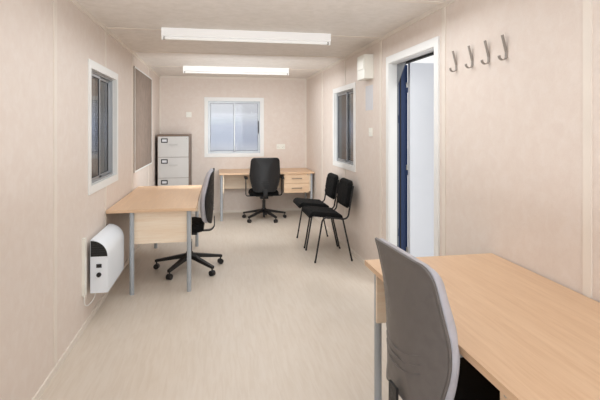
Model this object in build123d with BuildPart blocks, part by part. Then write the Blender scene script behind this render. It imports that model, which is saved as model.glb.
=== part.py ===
from build123d import *
import math
import os

os.makedirs("parts", exist_ok=True)

# Portable site cabin, furnished as an office. Millimetres, +Z up.
# The origin is on the ground under the middle of the plan. X runs across the cabin, with the door
# in the +X wall, and Y runs along it.

# Room inside the linings
ROOM_W = 2440.0
ROOM_L = 9450.0
ROOM_H = 2270.0

# Shell
WALL_CORE = 125.0
CLAD_DEPTH = 26.5
SHEET_T = 2.0
RIB_PITCH = 190.0
RIB_CREST = 70.0
RIB_FLANK = 16.0
BASE_H = 180.0
DECK_T = 22.0
VINYL_T = 3.0
CEILING_T = 9.0
ROOF_T = 110.0
ROOF_CAMBER = 35.0
ROOF_FLAT = 120.0
CAPPING_T = 3.0
CAPPING_DROP = 70.0
POST_T = 5.0

X_IN = ROOM_W / 2
Y_IN = ROOM_L / 2
X_CORE = X_IN + WALL_CORE
Y_CORE = Y_IN + WALL_CORE
X_OUT = X_CORE + CLAD_DEPTH
Y_OUT = Y_CORE + CLAD_DEPTH
DECK_TOP = BASE_H + DECK_T
FLOOR = DECK_TOP + VINYL_T
CEILING = FLOOR + ROOM_H
WALL_TOP = CEILING + CEILING_T

# Base frame
RAIL_W = 70.0
RAIL_T = 6.0
JOIST_H = 120.0
JOIST_W = 50.0
JOIST_T = 5.0
JOIST_COUNT = 14
POCKET_W = 240.0
POCKET_H = 100.0
POCKET_T = 6.0
POCKET_Z = 90.0
POCKET_Y = 950.0

# Lifting eyes on the roof corners
EYE_R = 22.0
EYE_T = 15.0
EYE_W = 90.0
EYE_H = 95.0
EYE_FOOT = (110.0, 110.0, 10.0)
EYE_INSET = 62.0

# Windows
WIN_W = 880.0
WIN_H = 890.0
WIN_SILL = 985.0
WIN_RECESS = 70.0
WIN_FRAME = 32.0
WIN_FLANGE = 25.0
SASH_W = 30.0
SASH_T = 22.0
SASH_LAP = 34.0
SASH_GAP = 2.0
PANE_T = 6.0
TRIM_W = 55.0
TRIM_T = 9.0
LINER_T = 6.0
LEFT_WINDOWS = (Y_IN - 3695.0, Y_IN - 7555.0)
RIGHT_WINDOWS = (Y_IN - 2375.0, Y_IN - 7555.0)
END_WINDOW_X = -10.0

# Door
DOOR_W = 854.0
DOOR_FAR = Y_IN - 3896.0
DOOR_NEAR = DOOR_FAR - DOOR_W
DOOR_HEAD = 1990.0
JAMB_T = 40.0
LINING_D = 66.0
STOP_D = 36.0
REBATE = 15.0
SILL_H = 10.0
FRAME_PROUD = 4.0
LEAF_T = 45.0
LEAF_GAP = 5.0
LEAF_LOCK_GAP = 8.0
ARCHITRAVE_W = 62.0
ARCHITRAVE_T = 12.0
GUSSET = 195.0
GUSSET_T = 5.0
HINGE_R = 10.0
HINGE_PIN_R = 6.0
HINGE_CLEAR = 0.06
HINGE_H = 45.0
HINGE_GAP = 0.5
HINGE_STANDOFF = 11.0
HINGE_FLAG = 48.0
HINGE_FLAG_T = 4.0
HINGE_HEIGHTS = (260.0, 1000.0, 1740.0)
BOLT_HOLE_HEIGHTS = (490.0, 1500.0)
BOLT_HOLE = (18.0, 70.0, 8.0)
LEVER_Z = 1010.0
LEVER_EDGE = 62.0
LEVER_PLATE = (40.0, 220.0, 8.0)
LEVER_L = 129.0
LEVER_W = 18.0
LEVER_T = 14.0
LEVER_REACH = 50.0
LEVER_RISE = 29.0

# Inside trims
STRIP_W = 45.0
STRIP_T = 5.0
BOARD_W = 1220.0
CORNICE_W = 32.0
CORNICE_T = 10.0
SKIRTING_H = 40.0
SKIRTING_T = 10.0
CORNER_W = 26.0
STRIP_COUNT = int((ROOM_L - STRIP_W - CORNER_W) // BOARD_W)

# Lights
LIGHT_L = 1470.0
LIGHT_W = 56.0
LIGHT_H = 58.0
LIGHT_X = -20.0
LIGHT_YS = (Y_IN - 3725.0, Y_IN - 1285.0)
TUBE_R = 13.0
TUBE_DROP = 104.0
HOLDER_T = 18.0
HOLDER_W = 30.0
END_CAP_T = 6.0
END_CAP_PROUD = 2.0

# Heater on the left wall
HEATER_Y0 = Y_IN - 4225.0
HEATER_L = 580.0
HEATER_Z0 = 225.0
HEATER_H = 385.0
HEATER_D = 120.0
HEATER_STANDOFF = 25.0
HEATER_BRACKET = 40.0
VENT_T = 3.0
VENT_INSET = 3.0
LOUVRE_T = 3.0
LOUVRE_W = 5.0
LOUVRE_PITCH = 17.0
LOUVRE_COUNT = 5
ROCKER_Z, ROCKER_W, ROCKER_H, ROCKER_T = 197.0, 35.0, 26.0, 6.0
KNOB_Z, KNOB_R, KNOB_T = 133.0, 16.0, 14.0

# Heater lead and the trunking that it leaves
TRUNK_Y = HEATER_Y0 - 103.0
TRUNK_W = 38.0
TRUNK_D = 22.0
TRUNK_Z0 = 250.0
TRUNK_H = 400.0
CORD_R = 3.5
CORD_GLAND_R = 8.0
CORD_GLAND_H = 14.0

# Small wall fittings: along the wall, up, width, height, depth
UNIT_Y, UNIT_Z, UNIT_W, UNIT_H, UNIT_D = DOOR_FAR + 556.0, 2028.0, 230.0, 237.0, 92.0
UNIT_FLAP = (200.0, 104.0, 6.0)
SHEET_Y, SHEET_Z, SHEET_W, SHEET_H, SHEET_PAPER_T = DOOR_FAR + 561.0, 1725.0, 220.0, 250.0, 3.0
SWITCH_Y, SWITCH_Z, SWITCH_W, SWITCH_H, SWITCH_D = DOOR_FAR + 503.0, 1380.0, 86.0, 86.0, 12.0
PLATE_X, PLATE_Z = -X_IN + 465.0, 1638.0
SOCKET_X, SOCKET_Z, SOCKET_W, SOCKET_D = X_IN - 445.0, 1099.0, 146.0, 14.0
BOARD_Y0, BOARD_Y1, BOARD_Z0, BOARD_Z1, BOARD_T = Y_IN - 2355.0, Y_IN - 985.0, 915.0, 2120.0, 16.0
BOARD_EDGE_W = 18.0
BOARD_EDGE_T = 4.0
HOOK_YS = [DOOR_NEAR - distance for distance in (295.0, 482.0, 651.0, 810.0)]
HOOK_FOOT = 1780.0
HOOK_TOP = 1957.0
HOOK_LEAN = (24.0, 60.0)
HOOK_LOOP = 25.0
HOOK_W = 20.0
HOOK_T = 4.0
HOOK_REACH = 46.0

# Desks
DESK_W = 735.0
DESK_H = 730.0
DESK_T = 25.0
DESK_WALL_GAP = 12.0
LEG_R = 19.0
LEG_INSET_END = 38.0
LEG_INSET_FRONT = 60.0
LEG_INSET_BACK = 200.0
PANEL_T = 18.0
PANEL_H = 280.0
PANEL_GAP = 0.3
PEDESTAL_W = 400.0
PEDESTAL_D = 485.0
PEDESTAL_H = 300.0
PEDESTAL_SETBACK = 30.0
DRAWER_REVEAL = 2.0
FRONT_T = 18.0
HANDLE_L = 150.0
HANDLE_R = 5.0
HANDLE_REACH = 26.0
LEFT_DESK_L = 1600.0
LEFT_DESK_Y = Y_IN - 2895.0
FAR_DESK_L = 1475.0
FAR_DESK_X = X_IN - 750.0
NEAR_DESK_L = 1600.0
NEAR_DESK_Y = Y_IN - 6245.0
PEDESTAL_GAP = 2.0
SIDE_DESK_EDGE = X_IN - DESK_WALL_GAP - DESK_W
FAR_DESK_EDGE = Y_IN - SKIRTING_T - DESK_W

# Swivel chairs: place, the way that each faces in degrees from +X, seat height, its star's turn
LEFT_CHAIR = (-SIDE_DESK_EDGE - 92.0, LEFT_DESK_Y - 133.0, 180.0, 480.0, 24.0)
FAR_CHAIR = (FAR_DESK_X - 50.0, FAR_DESK_EDGE + 85.0, 90.0, 450.0, 8.0)
NEAR_CHAIR = (SIDE_DESK_EDGE + 92.0, NEAR_DESK_Y + 30.0, 3.0, 480.0, 40.0)
SWIVEL_CHAIRS = (LEFT_CHAIR, FAR_CHAIR, NEAR_CHAIR)
ARM_CHAIR = 1
STAR_ARMS = 5
STAR_REACH = 336.0
STAR_ROOT = (46.0, 44.0, 146.0)
STAR_TIP = (28.0, 24.0, 82.0)
CASTOR_R = 26.0
CASTOR_W = 44.0
CASTOR_STEM_R = 7.0
HUB_R = 34.0
HUB_Z = 112.0
HUB_TOP = 176.0
LIFT_R = 18.0
LIFT_Z = 32.0
SLEEVE_R = 25.0
SLEEVE_TOP = 300.0
PISTON_R = 14.0
SEAT_W = 480.0
SEAT_D = 460.0
SEAT_T = 70.0
SEAT_FORWARD = 75.0
SEAT_CORNER = 90.0
PAN_T = 18.0
PAN_SIZE = (300.0, 260.0)
TILT_BOX = (150.0, 120.0, 36.0)
STRAP_W = 60.0
STRAP_T = 10.0
STRAP_RISE = 190.0
STRAP_BEND = 60.0

# A chair's back: heights over the seat, then how far forward of the column the middle of the shell's
# rear face lies there, how much its sides curve forward, and the same for the front of its pad
BACK_LEVELS = (-12.0, 140.0, 290.0, 405.0, 522.0)
SHELL_REAR = (-240.0, -240.0, -240.0, -249.0, -265.0)
SHELL_CURVE = (100.0, 92.0, 80.0, 62.0, 46.0)
PAD_FRONT = (-155.0, -124.0, -114.0, -148.0, -200.0)
PAD_CURVE = (55.0, 14.0, -4.0, -2.0, 12.0)
SHELL_T = 12.0
PAD_SEAT_GAP = 0.3
BACK_SPAN = 240.0
BACK_OUTLINE = ((150.0, -10.0), (225.0, 250.0), (203.0, 520.0))
BACK_CORNERS = (75.0, 180.0, 40.0)
PAD_INSET = 13.0
ARM_OUT = 40.0
ARM_RISE = 190.0
ARM_BEND = 32.0
ARM_POST_W = 42.0
ARM_POST_T = 14.0
ARM_PAD_L = 260.0
ARM_PAD_W = 45.0
ARM_PAD_T = 28.0
ARM_BACK = 20.0

# Visitor chairs, facing into the room: points on the side tubes as distance from the chair's middle
# towards the wall, and height
VISITOR_X = X_IN - 290.0
VISITOR_YS = (Y_IN - 2795.0, Y_IN - 2195.0)
VISITOR_W = 520.0
VISITOR_FRONT_FOOT = (-207.0, 0.0)
VISITOR_FRONT_BEND = (-124.0, 478.0)
VISITOR_BACK_BEND = (148.0, 446.0)
VISITOR_TOP = (210.0, 800.0)
VISITOR_REAR_FOOT = (195.0, 0.0)
VISITOR_REAR_SHARE = 0.8
VISITOR_BEND = 55.0
VISITOR_TUBE_R = 9.0
VISITOR_STRAP = (30.0, 6.0)
VISITOR_SEAT = (-150.0, 244.0)
VISITOR_SEAT_T = 42.0
VISITOR_NOSE = 22.0
VISITOR_BACK_H = 320.0
VISITOR_BACK_T = 38.0
VISITOR_BACK_RISE = 95.0
VISITOR_BACK_CORNER = 85.0

# Filing cabinet
CABINET_W = 470.0
CABINET_D = 620.0
CABINET_H = 1320.0
CABINET_X = -X_IN + 275.0
CABINET_GAP = 5.0
DRAWERS = 4
DRAWER_GAP = 6.0
DRAWER_T = 18.0
DRAWER_PLINTH = 40.0
DRAWER_TOP_GAP = 25.0
DRAWER_SIDE = 12.0
LABEL_FRAME = (86.0, 48.0, 3.0)
LABEL_RIM = 5.0
LABEL_X = -130.0
LABEL_DROP = 60.0
PULL = (120.0, 16.0, 14.0)
PULL_DROP = 120.0


def block(x0, x1, y0, y1, z0, z1, mode=Mode.ADD):
    """Add or cut a rectangular solid between these limits in the piece being made."""
    with Locations(((x0 + x1) / 2, (y0 + y1) / 2, (z0 + z1) / 2)):
        Box(abs(x1 - x0), abs(y1 - y0), abs(z1 - z0), mode=mode)


def wall_plane(along, height, outward):
    """A plane on a wall's inner face, its normal outward and its y axis up."""
    x, y = outward
    place = (x * X_IN if x else along, y * Y_IN if y else along, height)
    return Plane(origin=place, x_dir=(-y, x, 0), z_dir=(x, y, 0))


def window_planes():
    """One plane for each window, at its middle on the inner face of its wall."""
    middle = FLOOR + WIN_SILL + WIN_H / 2
    planes = [wall_plane(y, middle, (-1, 0)) for y in LEFT_WINDOWS]
    planes += [wall_plane(y, middle, (1, 0)) for y in RIGHT_WINDOWS]
    planes += [wall_plane(END_WINDOW_X, middle, (0, side)) for side in (1, -1)]
    return planes


def plate(plane, start, end, width, height, off_x=0.0, off_y=0.0, mode=Mode.ADD):
    """A rectangular plate on a plane, from one depth to another along its normal."""
    with BuildSketch(plane.offset(start)) as outline:
        with Locations((off_x, off_y)):
            Rectangle(width, height)
    extrude(outline.sketch, amount=end - start, mode=mode)


def ring(plane, start, end, outer, inner, off_x=0.0, off_y=0.0):
    """A rectangular ring on a plane, outer and inner given as width and height."""
    with BuildSketch(plane.offset(start)) as outline:
        with Locations((off_x, off_y)):
            Rectangle(*outer)
            Rectangle(*inner, mode=Mode.SUBTRACT)
    extrude(outline.sketch, amount=end - start)


def cut_windows(planes, start, end):
    """Cut the window openings through the wall being made."""
    for plane in planes:
        plate(plane, start, end, WIN_W, WIN_H, mode=Mode.SUBTRACT)


def save(piece, name):
    """Name a finished piece and write it."""
    piece.part.label = name
    export_step(piece.part, "parts/" + name + ".step")


WINDOWS = window_planes()
DOOR_TOP = FLOOR + DOOR_HEAD
SILL_TOP = FLOOR + SILL_H

# Base frame: channel rails along the sides and ends, joists, and fork pockets through the sides

with BuildPart() as base_side_rails:
    with BuildSketch(Plane.XZ.offset(Y_OUT)):
        for side in (1, -1):
            with Locations((side * (X_OUT - RAIL_W / 2), BASE_H / 2)):
                Rectangle(RAIL_W, BASE_H)
            with Locations((side * (X_OUT - RAIL_T - RAIL_W / 2), BASE_H / 2)):
                Rectangle(RAIL_W, BASE_H - 2 * RAIL_T, mode=Mode.SUBTRACT)
    extrude(amount=-2 * Y_OUT)
    for side in (1, -1):
        y = side * POCKET_Y
        block(-X_OUT, X_OUT, y - POCKET_W / 2, y + POCKET_W / 2,
              POCKET_Z - POCKET_H / 2, POCKET_Z + POCKET_H / 2, Mode.SUBTRACT)
save(base_side_rails, "base_side_rails")

with BuildPart() as fork_pockets:
    for side in (1, -1):
        ring(Plane.YZ, -X_OUT, X_OUT, (POCKET_W, POCKET_H),
             (POCKET_W - 2 * POCKET_T, POCKET_H - 2 * POCKET_T), side * POCKET_Y, POCKET_Z)
save(fork_pockets, "fork_pockets")


def joist_places():
    """Joist middles along the cabin, clear of the fork pockets and of the middle rail."""
    pitch = 2 * (Y_OUT - RAIL_W) / (JOIST_COUNT + 1)
    reach = (POCKET_W + JOIST_W) / 2
    places = [-(Y_OUT - RAIL_W) + pitch * (i + 1) for i in range(JOIST_COUNT)]
    clear = [y for y in places if abs(abs(y) - POCKET_Y) > reach]
    return [y for y in clear if abs(y) > (RAIL_W + JOIST_W) / 2]


with BuildPart() as base_cross_members:
    with BuildSketch(Plane.YZ.offset(-(X_OUT - RAIL_W))) as cross_profile:
        with Locations((0, BASE_H / 2)):
            Rectangle(RAIL_W, BASE_H)
            Rectangle(RAIL_W - 2 * RAIL_T, BASE_H - 2 * RAIL_T, mode=Mode.SUBTRACT)
        for side in (1, -1):
            with Locations((side * (Y_OUT - RAIL_W / 2), BASE_H / 2)):
                Rectangle(RAIL_W, BASE_H)
            with Locations((side * (Y_OUT - RAIL_T - RAIL_W / 2), BASE_H / 2)):
                Rectangle(RAIL_W, BASE_H - 2 * RAIL_T, mode=Mode.SUBTRACT)
    extrude(cross_profile.sketch, amount=2 * (X_OUT - RAIL_W))
    joist_mid = BASE_H - JOIST_H / 2
    with BuildSketch(Plane.YZ.offset(-(X_OUT - RAIL_W))) as joist_profile:
        for y in joist_places():
            with Locations((y, joist_mid)):
                Rectangle(JOIST_W, JOIST_H)
            with Locations((y + JOIST_T, joist_mid)):
                Rectangle(JOIST_W, JOIST_H - 2 * JOIST_T, mode=Mode.SUBTRACT)
    extrude(joist_profile.sketch, amount=2 * (X_OUT - RAIL_W))
save(base_cross_members, "base_cross_members")

# Floor: boards over the frame between the posts, and the vinyl inside

with BuildPart() as floor_deck:
    block(-X_OUT, X_OUT, -Y_OUT, Y_OUT, BASE_H, DECK_TOP)
    for sx in (1, -1):
        for sy in (1, -1):
            block(sx * X_IN, sx * X_OUT, sy * Y_IN, sy * Y_OUT, BASE_H, DECK_TOP, Mode.SUBTRACT)
save(floor_deck, "floor_deck")

with BuildPart() as floor_vinyl:
    block(-X_IN, X_IN, -Y_IN, Y_IN, DECK_TOP, FLOOR)
    block(X_IN, X_IN + LINING_D, DOOR_NEAR, DOOR_FAR, DECK_TOP, FLOOR)
save(floor_vinyl, "floor_vinyl")

# Walls: framed and insulated cores, with their openings, between hollow corner posts

with BuildPart() as corner_posts:
    post_mid_x = (X_IN + X_OUT) / 2
    post_mid_y = (Y_IN + Y_OUT) / 2
    post_w = X_OUT - X_IN
    with BuildSketch(Plane.XY.offset(BASE_H)):
        for sx in (1, -1):
            for sy in (1, -1):
                with Locations((sx * post_mid_x, sy * post_mid_y)):
                    Rectangle(post_w, post_w)
                    Rectangle(post_w - 2 * POST_T, post_w - 2 * POST_T, mode=Mode.SUBTRACT)
    extrude(amount=WALL_TOP - BASE_H)
save(corner_posts, "corner_posts")

with BuildPart() as left_wall:
    block(-X_CORE, -X_IN, -Y_IN, Y_IN, DECK_TOP, WALL_TOP)
    cut_windows(WINDOWS[:2], 0, WALL_CORE)
save(left_wall, "left_wall")

with BuildPart() as far_wall:
    block(-X_IN, X_IN, Y_IN, Y_CORE, DECK_TOP, WALL_TOP)
    cut_windows(WINDOWS[4:5], 0, WALL_CORE)
save(far_wall, "far_wall")

with BuildPart() as near_wall:
    block(-X_IN, X_IN, -Y_CORE, -Y_IN, DECK_TOP, WALL_TOP)
    cut_windows(WINDOWS[5:], 0, WALL_CORE)
save(near_wall, "near_wall")

with BuildPart() as right_wall_far:
    block(X_IN, X_CORE, DOOR_FAR + JAMB_T, Y_IN, DECK_TOP, WALL_TOP)
    cut_windows(WINDOWS[2:3], 0, WALL_CORE)
save(right_wall_far, "right_wall_far")

with BuildPart() as right_wall_near:
    block(X_IN, X_CORE, -Y_IN, DOOR_NEAR - JAMB_T, DECK_TOP, WALL_TOP)
    cut_windows(WINDOWS[3:4], 0, WALL_CORE)
save(right_wall_near, "right_wall_near")

with BuildPart() as right_wall_over_door:
    block(X_IN, X_CORE, DOOR_NEAR - JAMB_T, DOOR_FAR + JAMB_T, DOOR_TOP + JAMB_T, WALL_TOP)
save(right_wall_over_door, "right_wall_over_door")


def ribbed_outline(length):
    """Points round a ribbed sheet: ribs along its length, flat valleys on the wall core."""
    count = int((length - RIB_CREST) // RIB_PITCH)
    half_foot = RIB_CREST / 2 + RIB_FLANK
    shift = SHEET_T * math.tan(math.radians(20))
    outer = [(-length / 2, SHEET_T)]
    inner = [(-length / 2, 0.0)]
    for i in range(count):
        mid = (i - (count - 1) / 2) * RIB_PITCH
        outer += [(mid - half_foot, SHEET_T), (mid - RIB_CREST / 2, CLAD_DEPTH),
                  (mid + RIB_CREST / 2, CLAD_DEPTH), (mid + half_foot, SHEET_T)]
        inner += [(mid - half_foot + shift, 0.0),
                  (mid - RIB_CREST / 2 + shift, CLAD_DEPTH - SHEET_T),
                  (mid + RIB_CREST / 2 - shift, CLAD_DEPTH - SHEET_T),
                  (mid + half_foot - shift, 0.0)]
    outer.append((length / 2, SHEET_T))
    inner.append((length / 2, 0.0))
    return outer + inner[::-1]


with BuildPart() as wall_cladding:
    sheets = [((X_CORE, 0), (0, -1, 0), 2 * Y_IN), ((-X_CORE, 0), (0, 1, 0), 2 * Y_IN),
              ((0, Y_CORE), (1, 0, 0), 2 * X_IN), ((0, -Y_CORE), (-1, 0, 0), 2 * X_IN)]
    for (x, y), along, length in sheets:
        place = Plane(origin=(x, y, DECK_TOP), x_dir=along, z_dir=(0, 0, 1))
        with BuildSketch(place) as sheet:
            with BuildLine():
                Polyline(*ribbed_outline(length), close=True)
            make_face()
        extrude(sheet.sketch, amount=WALL_TOP - DECK_TOP)
    cut_windows(WINDOWS, WALL_CORE, WALL_CORE + CLAD_DEPTH)
    block(X_CORE, X_OUT, DOOR_NEAR - JAMB_T, DOOR_FAR + JAMB_T, DECK_TOP, DOOR_TOP + JAMB_T,
          Mode.SUBTRACT)
save(wall_cladding, "wall_cladding")

# Roof and ceiling

with BuildPart() as ceiling_board:
    block(-X_IN, X_IN, -Y_IN, Y_IN, CEILING, WALL_TOP)
save(ceiling_board, "ceiling_board")

ROOF_EDGE = WALL_TOP + ROOF_T


def roof_outline(grow=0.0):
    """Half the roof's section, mirrored later: flat at the edge, then up to the middle."""
    return [(0, WALL_TOP), (X_OUT - grow, WALL_TOP), (X_OUT - grow, ROOF_EDGE),
            (X_OUT - ROOF_FLAT, ROOF_EDGE), (0, ROOF_EDGE + ROOF_CAMBER)]


with BuildPart() as roof:
    with BuildSketch(Plane.XZ.offset(-Y_OUT)):
        with BuildLine():
            Polyline(*roof_outline(), close=True)
        make_face()
        mirror(about=Plane.YZ)
    extrude(amount=2 * Y_OUT)
save(roof, "roof")

with BuildPart() as roof_capping:
    with BuildSketch(Plane.XZ.offset(-Y_OUT)):
        for side in (1, -1):
            with Locations((side * (X_OUT + CAPPING_T / 2), ROOF_EDGE + (CAPPING_T - CAPPING_DROP) / 2)):
                Rectangle(CAPPING_T, CAPPING_DROP + CAPPING_T)
            with Locations((side * (X_OUT - ROOF_FLAT / 2), ROOF_EDGE + CAPPING_T / 2)):
                Rectangle(ROOF_FLAT, CAPPING_T)
    extrude(amount=2 * Y_OUT)
    for side in (1, -1):
        edge = Y_OUT if side > 0 else -Y_OUT - CAPPING_T
        with BuildSketch(Plane.XZ.offset(-edge - CAPPING_T)) as end_capping:
            with BuildLine():
                Polyline(*[(x, max(z, ROOF_EDGE - CAPPING_DROP)) for x, z in roof_outline(1.0)],
                         close=True)
            make_face()
            mirror(about=Plane.YZ)
        extrude(end_capping.sketch, amount=CAPPING_T)
save(roof_capping, "roof_capping")

with BuildPart() as lifting_eyes:
    foot_x, foot_y, foot_t = EYE_FOOT
    eye_z = ROOF_EDGE + CAPPING_T
    for sx in (1, -1):
        for sy in (1, -1):
            x = sx * (X_OUT - EYE_INSET)
            y = sy * (Y_OUT - EYE_INSET)
            block(x - foot_x / 2, x + foot_x / 2, y - foot_y / 2, y + foot_y / 2,
                  eye_z, eye_z + foot_t)
            with BuildSketch(Plane(origin=(x, y + EYE_T / 2, eye_z + foot_t), x_dir=(1, 0, 0),
                                   z_dir=(0, -1, 0))) as eye:
                with Locations((0, (EYE_H - EYE_W / 2) / 2)):
                    Rectangle(EYE_W, EYE_H - EYE_W / 2)
                with Locations((0, EYE_H - EYE_W / 2)):
                    Circle(EYE_W / 2)
                    Circle(EYE_R, mode=Mode.SUBTRACT)
            extrude(eye.sketch, amount=EYE_T)
save(lifting_eyes, "lifting_eyes")

# Windows: casing and reveal liner inside, an aluminium frame, two sliding sashes and their panes

with BuildPart() as window_trims:
    inner = (WIN_W - 2 * LINER_T, WIN_H - 2 * LINER_T)
    for plane in WINDOWS:
        ring(plane, 0, WIN_RECESS, (WIN_W, WIN_H), inner)
        ring(plane, -TRIM_T, 0, (WIN_W + 2 * TRIM_W, WIN_H + 2 * TRIM_W), inner)
save(window_trims, "window_trims")

SASH_IN = WIN_RECESS + 12.0
FRAME_IN_W = WIN_W - 2 * WIN_FRAME
FRAME_IN_H = WIN_H - 2 * WIN_FRAME
SASH_OUTER_W = (FRAME_IN_W + SASH_LAP) / 2

with BuildPart() as window_frames:
    for plane in WINDOWS:
        ring(plane, WIN_RECESS, WALL_CORE + CLAD_DEPTH, (WIN_W, WIN_H), (FRAME_IN_W, FRAME_IN_H))
        ring(plane, WALL_CORE + CLAD_DEPTH, WALL_CORE + CLAD_DEPTH + CAPPING_T,
             (WIN_W + 2 * WIN_FLANGE, WIN_H + 2 * WIN_FLANGE), (FRAME_IN_W, FRAME_IN_H))
save(window_frames, "window_frames")

with BuildPart() as window_sashes:
    for plane in WINDOWS:
        for side in (1, -1):
            start = SASH_IN + (SASH_T + SASH_GAP if side < 0 else 0)
            ring(plane, start, start + SASH_T, (SASH_OUTER_W, FRAME_IN_H),
                 (SASH_OUTER_W - 2 * SASH_W, FRAME_IN_H - 2 * SASH_W),
                 side * (FRAME_IN_W - SASH_OUTER_W) / 2)
save(window_sashes, "window_sashes")

with BuildPart() as window_glass:
    for plane in WINDOWS:
        for side in (1, -1):
            start = SASH_IN + (SASH_T + SASH_GAP if side < 0 else 0) + (SASH_T - PANE_T) / 2
            plate(plane, start, start + PANE_T, SASH_OUTER_W - 2 * SASH_W, FRAME_IN_H - 2 * SASH_W,
                  side * (FRAME_IN_W - SASH_OUTER_W) / 2)
save(window_glass, "window_glass")

# Doorway: white lining and architrave, then a rebated steel frame with fixed hinge knuckles

STOP_X = X_IN + LINING_D + STOP_D
FRAME_X = X_OUT + FRAME_PROUD
PIN_X = FRAME_X + HINGE_STANDOFF
PIN_Y = DOOR_FAR + REBATE - LEAF_GAP / 2


def portal(x0, x1, clear, thick, foot):
    """Two posts and a head round the doorway, set back from the clear opening by a step."""
    near, far, top = DOOR_NEAR - clear, DOOR_FAR + clear, DOOR_TOP + clear
    block(x0, x1, near - thick, near, foot, top + thick)
    block(x0, x1, far, far + thick, foot, top + thick)
    block(x0, x1, near - thick, far + thick, top, top + thick)


with BuildPart() as door_lining:
    portal(X_IN, X_IN + LINING_D, 0, JAMB_T, DECK_TOP)
save(door_lining, "door_lining")

with BuildPart() as door_architrave:
    portal(X_IN - ARCHITRAVE_T, X_IN, 6.0, ARCHITRAVE_W, FLOOR)
save(door_architrave, "door_architrave")

with BuildPart() as door_frame:
    portal(X_IN + LINING_D, STOP_X, 0, JAMB_T, DECK_TOP)
    portal(STOP_X, FRAME_X, REBATE, JAMB_T - REBATE, DECK_TOP)
    block(X_IN + LINING_D, FRAME_X, DOOR_NEAR - REBATE, DOOR_FAR + REBATE, DECK_TOP, SILL_TOP)
    with BuildSketch(Plane.YZ.offset(X_IN + LINING_D)) as gusset:
        with BuildLine():
            Polyline((DOOR_FAR, DOOR_TOP), (DOOR_FAR - GUSSET, DOOR_TOP),
                     (DOOR_FAR, DOOR_TOP - GUSSET), close=True)
        make_face()
    extrude(gusset.sketch, amount=GUSSET_T)
    hole_w, hole_h, hole_d = BOLT_HOLE
    for z in BOLT_HOLE_HEIGHTS:
        block(STOP_X - 2 * hole_w, STOP_X - hole_w, DOOR_FAR, DOOR_FAR + hole_d,
              FLOOR + z - hole_h / 2, FLOOR + z + hole_h / 2, Mode.SUBTRACT)
    for z in HINGE_HEIGHTS:
        foot = FLOOR + z
        with Locations((PIN_X, PIN_Y, foot + HINGE_H / 2)):
            Cylinder(HINGE_R, HINGE_H)
        with Locations((PIN_X, PIN_Y, foot + HINGE_H)):
            Cylinder(HINGE_PIN_R, 2 * HINGE_H - 4.0)
        block(FRAME_X, FRAME_X + HINGE_FLAG_T, PIN_Y, PIN_Y + HINGE_FLAG, foot, foot + HINGE_H)
save(door_frame, "door_frame")

# Door leaf, drawn open at a right angle, as it stands at rest

LEAF_FACE = HINGE_STANDOFF + FRAME_PROUD - 0.5
LEAF_X0 = PIN_X + LEAF_GAP / 2
LEAF_W = DOOR_W + REBATE - LEAF_GAP + REBATE - LEAF_LOCK_GAP
LEAF_OUT_Y = PIN_Y - LEAF_FACE
LEAF_IN_Y = LEAF_OUT_Y - LEAF_T
LEAF_Z0 = SILL_TOP + LEAF_GAP
LEAF_Z1 = DOOR_TOP + REBATE - LEAF_GAP

with BuildPart() as door_leaf:
    block(LEAF_X0, LEAF_X0 + LEAF_W, LEAF_IN_Y, LEAF_OUT_Y, LEAF_Z0, LEAF_Z1)
save(door_leaf, "door_leaf")

with BuildPart() as door_hinges:
    for z in HINGE_HEIGHTS:
        foot = FLOOR + z + HINGE_H + HINGE_GAP
        with Locations((PIN_X, PIN_Y, foot + HINGE_H / 2)):
            Cylinder(HINGE_R, HINGE_H)
        block(LEAF_X0, LEAF_X0 + HINGE_FLAG, LEAF_OUT_Y, PIN_Y - HINGE_R + 1.0, foot, foot + HINGE_H)
        with Locations((PIN_X, PIN_Y, foot + HINGE_H / 2)):
            Cylinder(HINGE_PIN_R + HINGE_CLEAR, HINGE_H, mode=Mode.SUBTRACT)
save(door_hinges, "door_hinges")

with BuildPart() as door_handles:
    plate_w, plate_h, plate_t = LEVER_PLATE
    for face, way in ((LEAF_OUT_Y, 1), (LEAF_IN_Y, -1)):
        side = Plane(origin=(LEAF_X0 + LEAF_W - LEVER_EDGE, face, FLOOR + LEVER_Z),
                     x_dir=(-way, 0, 0), z_dir=(0, way, 0))
        with BuildSketch(side) as back_plate:
            RectangleRounded(plate_w, plate_h, plate_w / 3)
        extrude(back_plate.sketch, amount=plate_t)
        with BuildSketch(side.offset(plate_t)) as neck:
            with Locations((0, LEVER_RISE)):
                Circle(LEVER_W / 2)
        extrude(neck.sketch, amount=LEVER_REACH - plate_t - LEVER_T)
        with BuildSketch(side.offset(LEVER_REACH - LEVER_T)) as lever:
            with Locations((way * (LEVER_L - LEVER_W) / 2, LEVER_RISE)):
                RectangleRounded(LEVER_L, LEVER_W, LEVER_W / 2 - 0.5)
        extrude(lever.sketch, amount=LEVER_T)
save(door_handles, "door_handles")

# Inside trims: strips over the board joints, cornice with corner beads, and skirting


def strip_places():
    """The board joints, a board's width apart from the far wall."""
    return [Y_IN - BOARD_W * (i + 1) for i in range(STRIP_COUNT)]


TRIM_OUT_W = WIN_W + 2 * TRIM_W
TRIM_OUT_H = WIN_H + 2 * TRIM_W
ARCH_OUT = ARCHITRAVE_W + 6.0

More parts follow.
